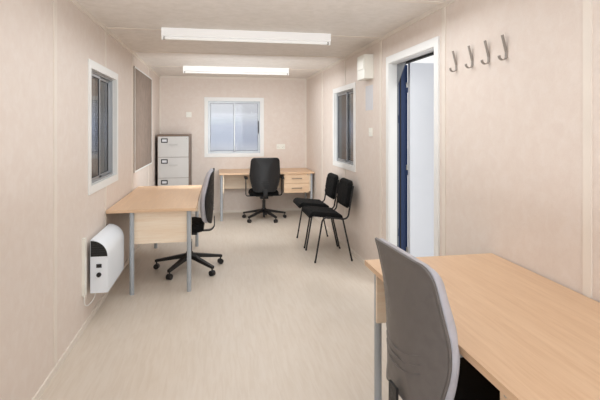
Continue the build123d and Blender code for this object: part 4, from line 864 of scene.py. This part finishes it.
RIM_RADIUS = 0.0055
RIB_RADIUS = 0.0022
RIB_HEIGHTS = (0.115, 0.145, 0.175)
RIB_RISE = 0.03
RIB_HALF_LENGTH = 0.13
RIB_STEPS = 12
shell_outline = rounded_outline(BACK_CORNERS)
rim_route = [(shell_back(y, z) + 0.002, y, z) for y, z in rounded_outline(BACK_CORNERS, -0.004)]
rim = bead(rim_route, RIM_RADIUS)
ribs = []
for height in RIB_HEIGHTS:
    spots = [RIB_HALF_LENGTH * (step / RIB_STEPS - 1) for step in range(2 * RIB_STEPS + 1)]
    route = [(y, height + RIB_RISE * (y / RIB_HALF_LENGTH) ** 2) for y in spots]
    ribs.append(bead([(shell_back(y, z) + 0.0006, y, z) for y, z in route], RIB_RADIUS, False))
for name in CHAIRS:
    place = chair_place(name)
    # The near shell takes the paler plastic with its painted highlight.
    plastic = lit_taupe_plastic if name == "near" else black_plastic
    points, faces = slab(shell_outline, shell_back, shell_front)
    shell = ([place @ Vector(p) for p in points], faces)
    fitting(f"{name}_chair_shell", [shell], plastic, "chair_shells", 0.003, smooth=True)
    points, faces = joined([rim, *ribs])
    edging = ([place @ Vector(p) for p in points], faces)
    fitting(f"{name}_chair_rim", [edging], plastic, smooth=True)
print("shells, rims and ribs for", len(CHAIRS), "chairs")

# %% [markdown]
# Upholstery is foam under tight cloth: it swells where nothing holds it and stays flat where it is
# fixed. Blender's cloth with a little air pressure makes that shape by itself. The seats and the
# visitor pads start slightly small and are remeshed into even faces, and the swivel chair's back
# keeps the rings that it is built from. Each then has its hard edges smoothed away, and swells for
# twenty steps while its fixed side is held. One of each is enough, since the chairs share them.

# %% Padded seats and backs
VOXEL = 0.010
PRESSURE = 4.0
STEPS = 20
START_SMALLER = 0.965
SWELL_LIMITS = (0.012, 0.009, 0.009, 0.009)
FIRST_VISITOR_END = 2.2
VISITOR_PITCH = 0.6


def start_pad(name, points, faces, held, smooth_steps=10, even=True):
    """A rounded mesh of a pad, ready to swell, with its fixed side in the group held."""
    if even:
        middle = sum((Vector(p) for p in points), Vector()) / len(points)
        points = [middle + (Vector(p) - middle) * START_SMALLER for p in points]
    pad = new_piece(name, points, faces, black_cloth)
    if even:
        remesh = pad.modifiers.new("even", "REMESH")
        remesh.mode = "VOXEL"
        remesh.voxel_size = VOXEL
        apply_modifiers(pad)
    work = bmesh.new()
    work.from_mesh(pad.data)
    work.normal_update()
    fixed = [vert.index for vert in work.verts if held(vert.normal)]
    firm = set(fixed)
    free = [vert for vert in work.verts if vert.index not in firm]
    for _ in range(smooth_steps):
        bmesh.ops.smooth_vert(work, verts=free, factor=0.5, use_axis_x=True, use_axis_y=True,
                              use_axis_z=True)
    work.to_mesh(pad.data)
    work.free()
    pad.vertex_groups.new(name="held").add(fixed, 1.0, "REPLACE")
    return pad


def swell(pads, limits):
    """Swell the pads together; no point moves further than its pad's limit."""
    starts = []
    for pad in pads:
        starts.append([vert.co.copy() for vert in pad.data.vertices])
        cloth = pad.modifiers.new("swell", "CLOTH")
        cloth.settings.use_pressure = True
        cloth.settings.uniform_pressure_force = PRESSURE
        cloth.settings.effector_weights.gravity = 0.0
        cloth.settings.vertex_group_mass = "held"
    for step in range(1, STEPS + 1):
        bpy.context.scene.frame_set(step)
    graph = bpy.context.evaluated_depsgraph_get()
    for pad, start, limit in zip(pads, starts, limits):
        swollen = [vert.co.copy() for vert in pad.evaluated_get(graph).data.vertices]
        pad.modifiers.clear()
        furthest = 0.0
        for vert, before, after in zip(pad.data.vertices, start, swollen):
            move = after - before
            furthest = max(furthest, move.length)
            vert.co = before + move * min(1.0, limit / max(move.length, 1e-9))
        print(pad.name, "swelled up to", round(furthest * 1000, 1), "mm, kept to", limit * 1000)
    bpy.context.scene.frame_set(1)


def cloth_piece(name, pad, place, material, node):
    """A copy of a swollen pad at its place, subdivided once, in place of the CAD piece that it hides."""
    piece = placed(name, pad.data.copy())
    piece.data.transform(place)
    piece.data.materials.clear()
    piece.data.materials.append(material)
    finer = piece.modifiers.new("finer", "SUBSURF")
    finer.levels = finer.render_levels = 1
    apply_modifiers(piece)
    for face in piece.data.polygons:
        face.use_smooth = True
    dress(piece, node)


home = {name: chair_place(name).inverted() for name in CHAIRS}
seat_points, seat_faces = solids("chair_seats")[0]
seat_points = [home["left"] @ p for p in seat_points]
pad_outline = rounded_outline(BACK_CORNERS, -0.002, 11)
back_points, back_faces = slab(pad_outline, lambda y, z: shell_front(y, z) + 0.0005,
                               lambda y, z: pad_front(y, z) - 0.004, 14, 0.010, 5)
visitor_solids = solids("visitor_pads")
visitor_first = [solid for solid in visitor_solids if corners_of(solid[0])[1].y < FIRST_VISITOR_END]
visitor_seat, visitor_back = sorted(visitor_first, key=lambda solid: corners_of(solid[0])[1].z)
pads = [start_pad("swivel_seat", seat_points, seat_faces, lambda normal: normal.z < -0.6),
        start_pad("swivel_back", back_points, back_faces, lambda normal: normal.x < -0.75, 5, False),
        start_pad("visitor_seat", *visitor_seat, lambda normal: normal.z < -0.6, 6),
        start_pad("visitor_back", *visitor_back, lambda normal: normal.x > 0.6, 6)]
swell(pads, SWELL_LIMITS)
swivel_seat, swivel_back, visitor_seat, visitor_back = pads
for name in CHAIRS:
    cloth_piece(f"{name}_chair_seat", swivel_seat, chair_place(name), black_cloth, "chair_seats")
    cover = black_cloth if name == "far" else grey_cloth
    cloth_piece(f"{name}_chair_back", swivel_back, chair_place(name), cover, "chair_backs")
for name, along in (("first", 0.0), ("second", VISITOR_PITCH)):
    place = Matrix.Translation((0, along, 0))
    cloth_piece(f"{name}_visitor_seat", visitor_seat, place, black_cloth, "visitor_pads")
    cloth_piece(f"{name}_visitor_back", visitor_back, place, black_cloth, "visitor_pads")
for pad in pads:
    bpy.data.objects.remove(pad)
print("pads in place")

# %% [markdown]
# Below each shell, a flat steel bar comes up from the mechanism and ends just behind the shell's
# lower edge. The CAD bar runs higher up the back, so a copy of the column's mesh has its top end
# brought down.

# %% Chair columns
BAR_END_ABOVE = 0.15
BAR_TOP = 0.045
BAR_BEHIND = -0.2
column_parts = []
for points, faces in solids("chair_columns"):
    middle = sum(points, Vector()) / len(points)
    name = min(CHAIRS, key=lambda chair: (Vector(CHAIRS[chair][:2]) - middle.xy).length)
    place = chair_place(name)
    moved = []
    for point in points:
        spot = home[name] @ point
        if spot.z > BAR_END_ABOVE and spot.x < BAR_BEHIND:
            spot.z = BAR_TOP
        moved.append(place @ spot)
    column_parts.append((moved, faces))
fitting("chair_column_set", column_parts, black_plastic, "chair_columns")
print("columns shortened to", BAR_TOP, "m above the seat")

# %% [markdown]
# Each window is an aluminium frame with two sliding sashes in their own tracks. What makes it read
# as real is small: thin stiles, a dark rubber gasket round each pane, and the pulls. Everything is a
# ring or a block in the window's own directions, across, up, and out from the room, so two functions
# make the windows of every wall.

# %% Windows
ROOM_HALF_X = -ROOM_LOW.x
ROOM_HALF_Y = ROOM_HIGH.y
LINER = (0.868, 0.878)
FRAME_FACE = 0.016
FRAME_START = 0.028
FLANGE_START = 0.1515
FLANGE_END = 0.1545
SASH_FACE = 0.020
SASH_THICK = 0.018
SASH_OVERLAP = 0.022
TRACKS = (0.036, 0.056)
PANE_THICK = 0.004
GASKET = 0.004
GASKET_HALF_DEPTH = 0.005
PANE_CLEAR = 0.002
SIDE_PULL = (0.013, 0.21)
SIDE_PULL_OUT = 0.016
SILL_PULL = (0.030, 0.012)
SILL_PULL_OUT = 0.010


def window_directions(points):
    """A window's middle, and its directions across, up and out from the room."""
    low, high = corners_of(points)
    middle = (low + high) / 2
    if high.x - low.x < high.y - low.y:
        side = math.copysign(1, middle.x)
        return Vector((side * ROOM_HALF_X, middle.y, middle.z)), Vector((0, 1, 0)), Vector((side, 0, 0))
    side = math.copysign(1, middle.y)
    return Vector((middle.x, side * ROOM_HALF_Y, middle.z)), Vector((1, 0, 0)), Vector((0, side, 0))


def window_ring(directions, start, end, outer, inner, across=0.0):
    """A rectangular ring round a pane."""
    middle, sideways, out = directions
    points = []
    for depth in (start, end):
        for width, height in (outer, inner):
            for u, v in ((-1, -1), (1, -1), (1, 1), (-1, 1)):
                points.append(middle + sideways * (across + u * width / 2) + Vector((0, 0, v * height / 2))
                              + out * depth)
    faces = []
    for i in range(4):
        j = (i + 1) % 4
        faces += [(i, j, 4 + j, 4 + i), (8 + i, 12 + i, 12 + j, 8 + j), (i, 8 + i, 8 + j, j),
                  (4 + i, 4 + j, 12 + j, 12 + i)]
    return points, faces


def window_block(directions, start, end, size, across=0.0, up=0.0):
    """A rectangular block."""
    middle, sideways, out = directions
    points = [middle + sideways * (across + u * size[0] / 2) + Vector((0, 0, up + v * size[1] / 2)) + out * d
              for d in (start, end) for u, v in ((-1, -1), (1, -1), (1, 1), (-1, 1))]
    faces = [(0, 1, 2, 3), (7, 6, 5, 4)] + [(i, 4 + i, 4 + (i + 1) % 4, (i + 1) % 4) for i in range(4)]
    return points, faces


# Painted reflection: each pane's colours by height stand for the view and reflections seen in it, and the
# side panes are darker because outside is dark.
FAR_PAINTED_VIEW = [(0.98, shade(186, 189, 196)), (1.20, shade(158, 164, 180)), (1.45, shade(172, 178, 192)),
             (1.62, shade(198, 201, 208)), (1.90, shade(206, 207, 211))]
SIDE_PAINTED_VIEW = [(0.98, shade(66, 58, 50)), (1.18, shade(92, 88, 86)), (1.45, shade(112, 118, 132)),
              (1.66, shade(106, 102, 98)), (1.90, shade(122, 114, 106))]
far_pane = pane("far_window_pane", FAR_PAINTED_VIEW)
side_pane = pane("side_window_pane", SIDE_PAINTED_VIEW)
seal_rubber = moulded("seal_rubber", shade(26, 26, 28), 0.6)
frame_parts, sash_parts, gasket_parts, pull_parts = [], [], [], []
panes = {"end": [], "side": []}
inner_size = (LINER[0] - 2 * FRAME_FACE, LINER[1] - 2 * FRAME_FACE)
sash_size = ((inner_size[0] + SASH_OVERLAP) / 2, inner_size[1])
glass_size = (sash_size[0] - 2 * SASH_FACE, sash_size[1] - 2 * SASH_FACE)
gasket_size = (glass_size[0] - 2 * GASKET, glass_size[1] - 2 * GASKET)
pane_size = (glass_size[0] - PANE_CLEAR, glass_size[1] - PANE_CLEAR)
for points, faces in solids("window_frames"):
    directions = window_directions(points)
    out = directions[2]
    kind = "end" if abs(out.y) > 0.5 else "side"
    inner_side = 1 if out.x > 0.5 or out.y < -0.5 else -1
    low, high = corners_of(points)
    flange = (max(high.x - low.x, high.y - low.y), high.z - low.z)
    frame_parts += [window_ring(directions, FRAME_START, FLANGE_END, LINER, inner_size),
                    window_ring(directions, FLANGE_START, FLANGE_END, flange, LINER)]
    for track, side in zip(TRACKS, (inner_side, -inner_side)):
        across = side * (inner_size[0] - sash_size[0]) / 2
        middle = track + SASH_THICK / 2
        sash_parts.append(window_ring(directions, track, track + SASH_THICK, sash_size, glass_size, across))
        gasket_parts.append(window_ring(directions, middle - GASKET_HALF_DEPTH, middle + GASKET_HALF_DEPTH,
                                        glass_size, gasket_size, across))
        panes[kind].append(window_block(directions, middle - PANE_THICK / 2, middle + PANE_THICK / 2,
                                        pane_size, across))
    stile = -inner_side * (inner_size[0] / 2 - SASH_FACE / 2)
    if kind == "end":
        pull_parts.append(window_block(directions, TRACKS[1] - SIDE_PULL_OUT, TRACKS[1], SIDE_PULL, stile))
    pull_parts.append(window_block(directions, TRACKS[0] - SILL_PULL_OUT, TRACKS[0], SILL_PULL,
                                   up=SILL_PULL[1] - inner_size[1] / 2))
for name, parts, material, node, slot, width in (
        ("window_frame_set", frame_parts, aluminium, "window_frames", "window_aluminium", 0.0012),
        ("window_sash_set", sash_parts, aluminium, "window_sashes", "window_aluminium", 0.0012),
        ("far_and_near_panes", panes["end"], far_pane, "window_glass", "window_glass", 0.0),
        ("side_panes", panes["side"], side_pane, "window_glass", "window_glass", 0.0),
        ("window_gaskets", gasket_parts, seal_rubber, None, "black_plastic", 0.0012),
        ("window_pulls", pull_parts, seal_rubber, None, "black_plastic", 0.0012)):
    fitting(name, parts, material, node, width, 1)
print(len(frame_parts) // 2, "windows glazed")

# %% [markdown]
# Small fittings: rockers on the switch and the sockets, cards in the cabinet's label frames, locks on
# the drawers, the coat hooks, the door's jamb seal, a dark strip under its head that is painted shade
# for the shadow under the head, and its flap at the hinge side. Most are blocks with softened edges,
# and the locks are short turned shapes.

# %% Rockers, cards and locks


def block_parts(low, high):
    """A block between two corners."""
    points = [Vector((x, y, z)) for x in (low[0], high[0]) for y in (low[1], high[1])
              for z in (low[2], high[2])]
    return points, [(0, 1, 3, 2), (4, 6, 7, 5), (0, 4, 5, 1), (2, 3, 7, 6), (0, 2, 6, 4), (1, 5, 7, 3)]


def turned(place, direction, profile, sides=20):
    """A short turned shape: profile is (radius, height along the direction) from foot to top."""
    turn = Vector(direction).to_track_quat("Z", "Y").to_matrix()
    points, faces = [], []
    for radius, height in profile:
        for i in range(sides):
            angle = 2 * math.pi * i / sides
            points.append(Vector(place) + turn @ Vector((radius * math.cos(angle), radius * math.sin(angle),
                                                         height)))
    for ring in range(len(profile) - 1):
        for i in range(sides):
            j = (i + 1) % sides
            faces.append((ring * sides + i, ring * sides + j, (ring + 1) * sides + j,
                          (ring + 1) * sides + i))
    faces.append(tuple(range(sides))[::-1])
    faces.append(tuple(range(len(points) - sides, len(points))))
    return points, faces


EDGE_ON = 0.02
DOUBLE_SOCKET = 0.12
ROCKER_RISE = 0.004
ROCKER_HALF = 0.006
SWITCH_ROCKER_UP = 0.012
SOCKET_ROCKER_ASIDE = 0.012
SOCKET_ROCKER_SPAN = (0.010, 0.028)
SLOT_ASIDE = 0.042
PIN_SLOTS = ((0, 0.008, 0.004, 0.008), (-0.011, -0.014, 0.007, 0.004), (0.011, -0.014, 0.007, 0.004))
plates = [corners_of(points) for points, faces in solids("switch_plates")]
rockers = []
for low, high in plates:
    middle = (low + high) / 2
    if high.x - low.x < EDGE_ON:
        rockers.append(block_parts(
            (low.x - ROCKER_RISE, middle.y - ROCKER_HALF, middle.z - SWITCH_ROCKER_UP),
            (low.x, middle.y + ROCKER_HALF, middle.z + SWITCH_ROCKER_UP)))
    elif high.x - low.x > DOUBLE_SOCKET:
        for x in (middle.x - SOCKET_ROCKER_ASIDE, middle.x + SOCKET_ROCKER_ASIDE):
            rockers.append(block_parts(
                (x - ROCKER_HALF, low.y - ROCKER_RISE, middle.z + SOCKET_ROCKER_SPAN[0]),
                (x + ROCKER_HALF, low.y, middle.z + SOCKET_ROCKER_SPAN[1])))
fitting("switch_rockers", rockers, white_plastic, width=0.0012)

# Painted shade: each pin hole is a dark block on the plate's face, standing for the shade inside the hole.
slots = []
for low, high in plates:
    middle = (low + high) / 2
    if high.x - low.x > DOUBLE_SOCKET:
        for x in (middle.x - SLOT_ASIDE, middle.x + SLOT_ASIDE):
            for dx, dz, w, h in PIN_SLOTS:
                slots.append(block_parts((x + dx - w / 2, low.y - 0.0006, middle.z + dz - h / 2),
                                         (x + dx + w / 2, low.y + 0.001, middle.z + dz + h / 2)))
fitting("socket_slots", slots, seal_rubber)

LABEL_ASIDE = 0.130
LABEL_DROP = 0.060
CARD_HALF = (0.037, 0.018)
CARD_THICK = 0.0012
LABEL_RIM = ((0.096, 0.066), (0.068, 0.036))
cards, label_rims = [], []
for points, faces in solids("filing_drawers"):
    low, high = corners_of(points)
    x = (low.x + high.x) / 2 - LABEL_ASIDE
    z = high.z - LABEL_DROP
    cards.append(block_parts((x - CARD_HALF[0], CABINET_FACE - CARD_THICK, z - CARD_HALF[1]),
                             (x + CARD_HALF[0], CABINET_FACE, z + CARD_HALF[1])))
    face = (Vector((x, CABINET_FACE, z)), Vector((1, 0, 0)), Vector((0, -1, 0)))
    label_rims.append(window_ring(face, 0.0002, 0.0045, *LABEL_RIM))
fitting("label_cards", cards, plain_paper)
fitting("label_rims", label_rims, black_plastic, width=0.0012)

HOOK_HEIGHTS = [FLOOR_Z + height for height in (1.780, 1.806, 1.897, 1.957)]
HOOK_HEIGHTS_NEW = [FLOOR_Z + height for height in (1.780, 1.806, 1.825, 1.917)]
hook_parts = []
for points, faces in solids("coat_hooks"):
    lowered = [Vector((p.x, p.y, np.interp(p.z, HOOK_HEIGHTS, HOOK_HEIGHTS_NEW))) for p in points]
    hook_parts.append((lowered, faces))
fitting("coat_hook_set", hook_parts, hook_metal, "coat_hooks")

STOP_FACE_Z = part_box("door_frame")[1].z - 0.040
FRAME_OUT = 1.3755
SEAL_FOOT = FLOOR_Z + 0.02
SEAL_DROP = 0.016
# Painted shade: the dark strip under the head stands for the shadow beneath the frame's head, and the jamb
# strip is a real seal.
head_shade_strip = block_parts((FRAME_DEPTH + 0.012, -0.022, STOP_FACE_Z - SEAL_DROP),
                        (FRAME_DEPTH + 0.036, 0.826, STOP_FACE_Z))
jamb_seal = block_parts((FRAME_DEPTH + 0.026, 0.820, SEAL_FOOT), (FRAME_DEPTH + 0.036, 0.829, STOP_FACE_Z))
flap = block_parts((FRAME_OUT, 0.853, SEAL_FOOT), (FRAME_OUT + 0.0205, 0.859, STOP_FACE_Z))
fitting("jamb_seal_and_head_shade", [head_shade_strip, jamb_seal], seal_rubber, width=0.002)
fitting("hinge_side_flap", [flap], door_face, width=0.002)

LOCK_PROFILE = ((0.009, 0.0), (0.009, 0.002), (0.0078, 0.0032), (0.0045, 0.0032), (0.004, 0.0024))
locks = [turned((1.100, 4.010, 0.888), (0, -1, 0), LOCK_PROFILE),
         turned((0.503, -1.872, 0.888), (-1, 0, 0), LOCK_PROFILE),
         turned((-0.748, CABINET_FACE, 1.472), (0, -1, 0), LOCK_PROFILE)]
fitting("drawer_locks", locks, bright_steel, smooth=True)
print(len(rockers), "rockers,", len(cards), "cards,", len(locks), "locks")

# %% [markdown]
# Each ceiling light is a folded steel batten with a holder at each end and one bare tube close under
# it. The tube is turned from its profile, with a metal cap at each end.

# %% Batten lights
LIGHT_HALF_W = 0.028
LIGHT_DEPTH = 0.066
CAP_DEPTH = 0.098
CAP_THICK = 0.012
TUBE_DROP = 0.083
TUBE_RADIUS = 0.012
TUBE_SIDES = 24
TUBE_CAP = 0.018
TUBE_CAP_RADIUS = TUBE_RADIUS + 0.0006
HOLDER_HALF_W = 0.013
batten_parts, tube_parts, cap_parts = [], [], []
for points, faces in solids("light_bodies"):
    low, high = corners_of(points)
    y = (low.y + high.y) / 2
    batten_parts.append(block_parts((low.x + 0.004, y - LIGHT_HALF_W, CEILING_Z - LIGHT_DEPTH),
                                    (high.x - 0.004, y + LIGHT_HALF_W, CEILING_Z)))
    for x in (low.x, high.x - CAP_THICK):
        batten_parts.append(block_parts((x, y - LIGHT_HALF_W - 0.002, CEILING_Z - LIGHT_DEPTH - 0.002),
                                        (x + CAP_THICK, y + LIGHT_HALF_W + 0.002, CEILING_Z)))
        batten_parts.append(block_parts((x, y - HOLDER_HALF_W, CEILING_Z - CAP_DEPTH),
                                        (x + CAP_THICK, y + HOLDER_HALF_W, CEILING_Z - LIGHT_DEPTH + 0.001)))
    start = (low.x + CAP_THICK, y, CEILING_Z - TUBE_DROP)
    length = high.x - low.x - 2 * CAP_THICK
    tube_parts.append(turned(start, (1, 0, 0), ((TUBE_RADIUS, 0.0), (TUBE_RADIUS, length)), TUBE_SIDES))
    for cap_start in (start[0], start[0] + length - TUBE_CAP):
        cap_parts.append(turned((cap_start, y, CEILING_Z - TUBE_DROP), (1, 0, 0),
                                ((TUBE_CAP_RADIUS, 0.0), (TUBE_CAP_RADIUS, TUBE_CAP)), TUBE_SIDES))
fitting("batten_set", batten_parts, glowing_batten_case, "light_bodies", 0.0015)
fitting("bare_tubes", tube_parts, tube_finish, "light_tubes", 0.0015, smooth=True)
fitting("tube_caps", cap_parts, bright_steel, width=0.001, smooth=True)
print(len(tube_parts), "tubes under their battens")

# %% [markdown]
# The cladding is fixed with three rows of domed screws, at the floor, half way up and under the roof,
# and the plates inside have a screw at each side. Repeats like this suit Geometry Nodes: a mesh of
# bare points, each with the way that it faces, gets one small head on every point. The points on the
# cladding are found by casting rays at it, so a head always sits on a sheet and never beside one.

# %% Screw heads by Geometry Nodes


def screw_tree():
    tree = bpy.data.node_groups.new("screw_heads", "GeometryNodeTree")
    tree.interface.new_socket("Geometry", in_out="INPUT", socket_type="NodeSocketGeometry")
    sockets = {}
    for label, kind in (("Head radius", "NodeSocketFloat"), ("Dome share", "NodeSocketFloat"),
                        ("Finish", "NodeSocketMaterial")):
        sockets[label] = tree.interface.new_socket(label, in_out="INPUT", socket_type=kind).identifier
    tree.interface.new_socket("Geometry", in_out="OUTPUT", socket_type="NodeSocketGeometry")
    add, link = tree.nodes.new, tree.links.new
    group_in, group_out = add("NodeGroupInput"), add("NodeGroupOutput")
    head = add("GeometryNodeMeshUVSphere")
    head.inputs["Segments"].default_value = 10
    head.inputs["Rings"].default_value = 6
    link(group_in.outputs["Head radius"], head.inputs["Radius"])
    flatten = add("ShaderNodeCombineXYZ")
    flatten.inputs["X"].default_value = flatten.inputs["Y"].default_value = 1.0
    link(group_in.outputs["Dome share"], flatten.inputs["Z"])
    shape = add("GeometryNodeTransform")
    link(head.outputs["Mesh"], shape.inputs["Geometry"])
    link(flatten.outputs[0], shape.inputs["Scale"])
    facing = add("GeometryNodeInputNamedAttribute")
    facing.data_type = "FLOAT_VECTOR"
    facing.inputs["Name"].default_value = "facing"
    turn = add("FunctionNodeAlignRotationToVector")
    turn.axis = "Z"
    link(facing.outputs["Attribute"], turn.inputs["Vector"])
    spots = add("GeometryNodeInstanceOnPoints")
    link(group_in.outputs["Geometry"], spots.inputs["Points"])
    link(shape.outputs["Geometry"], spots.inputs["Instance"])
    link(turn.outputs["Rotation"], spots.inputs["Rotation"])
    real = add("GeometryNodeRealizeInstances")
    link(spots.outputs["Instances"], real.inputs["Geometry"])
    paint = add("GeometryNodeSetMaterial")
    link(real.outputs["Geometry"], paint.inputs["Geometry"])
    link(group_in.outputs["Finish"], paint.inputs["Material"])
    link(paint.outputs["Geometry"], group_out.inputs["Geometry"])
    return tree, sockets


heads, head_sockets = screw_tree()


def screws(name, spots, radius, dome, material):
    """A head on each spot: a place and the way that it faces."""
    mesh = bpy.data.meshes.new(name)
    mesh.from_pydata([tuple(place) for place, facing in spots], [], [])
    attribute = mesh.attributes.new("facing", "FLOAT_VECTOR", "POINT")
    for item, (place, facing) in zip(attribute.data, spots):
        item.vector = facing
    piece = placed(name, mesh)
    modifier = piece.modifiers.new("heads", "NODES")
    modifier.node_group = heads
    for label, value in (("Head radius", radius), ("Dome share", dome), ("Finish", material)):
        modifier[head_sockets[label]] = value
    apply_modifiers(piece)
    for face in piece.data.polygons:
        face.use_smooth = True
    dress(piece)
    print(name, len(spots), "heads,", len(piece.data.polygons), "faces")


SCREW_ROWS = (FLOOR_Z + 0.06, FLOOR_Z + 1.15, CEILING_Z - 0.06)
SIDE_SCREWS = 38
END_SCREWS = 10
SIDE_REACH = 4.6
END_REACH = 1.12
SQUARE_ON = 0.95
SIDE_CREST = 1.33
END_CREST = 4.83
cladding = nodes["wall_cladding"]
cladding_spots = []
for row in SCREW_ROWS:
    for side in (-1, 1):
        casts = [((side * 2.0, y, row), Vector((side, 0, 0)), SIDE_CREST)
                 for y in np.linspace(-SIDE_REACH, SIDE_REACH, SIDE_SCREWS)]
        casts += [((x, side * 6.0, row), Vector((0, side, 0)), END_CREST)
                  for x in np.linspace(-END_REACH, END_REACH, END_SCREWS)]
        for start, out, crest in casts:
            hit, place, normal, _ = cladding.ray_cast(start, -out)
            if hit and normal.dot(out) > SQUARE_ON and abs(place.dot(out)) > crest:
                cladding_spots.append((place, normal))
screws("cladding_screws", cladding_spots, 0.007, 0.55, base_steel)

PLATE_SCREW_ASIDE = 0.030
PLATE_SCREW_INSET = 0.013
plate_spots = []
for low, high in plates:
    middle = (low + high) / 2
    for side in (-1, 1):
        if high.x - low.x < EDGE_ON:
            spot = Vector((low.x, middle.y + side * PLATE_SCREW_ASIDE, middle.z))
            plate_spots.append((spot, Vector((-1, 0, 0))))
        else:
            reach = (high.x - low.x) / 2 - PLATE_SCREW_INSET
            spot = Vector((middle.x + side * reach, low.y, middle.z))
            plate_spots.append((spot, Vector((0, -1, 0))))
screws("plate_screws", plate_spots, 0.0035, 0.4, bright_steel)

# %% [markdown]
# The last step updates the view layer.

# %% Update
bpy.context.view_layer.update()
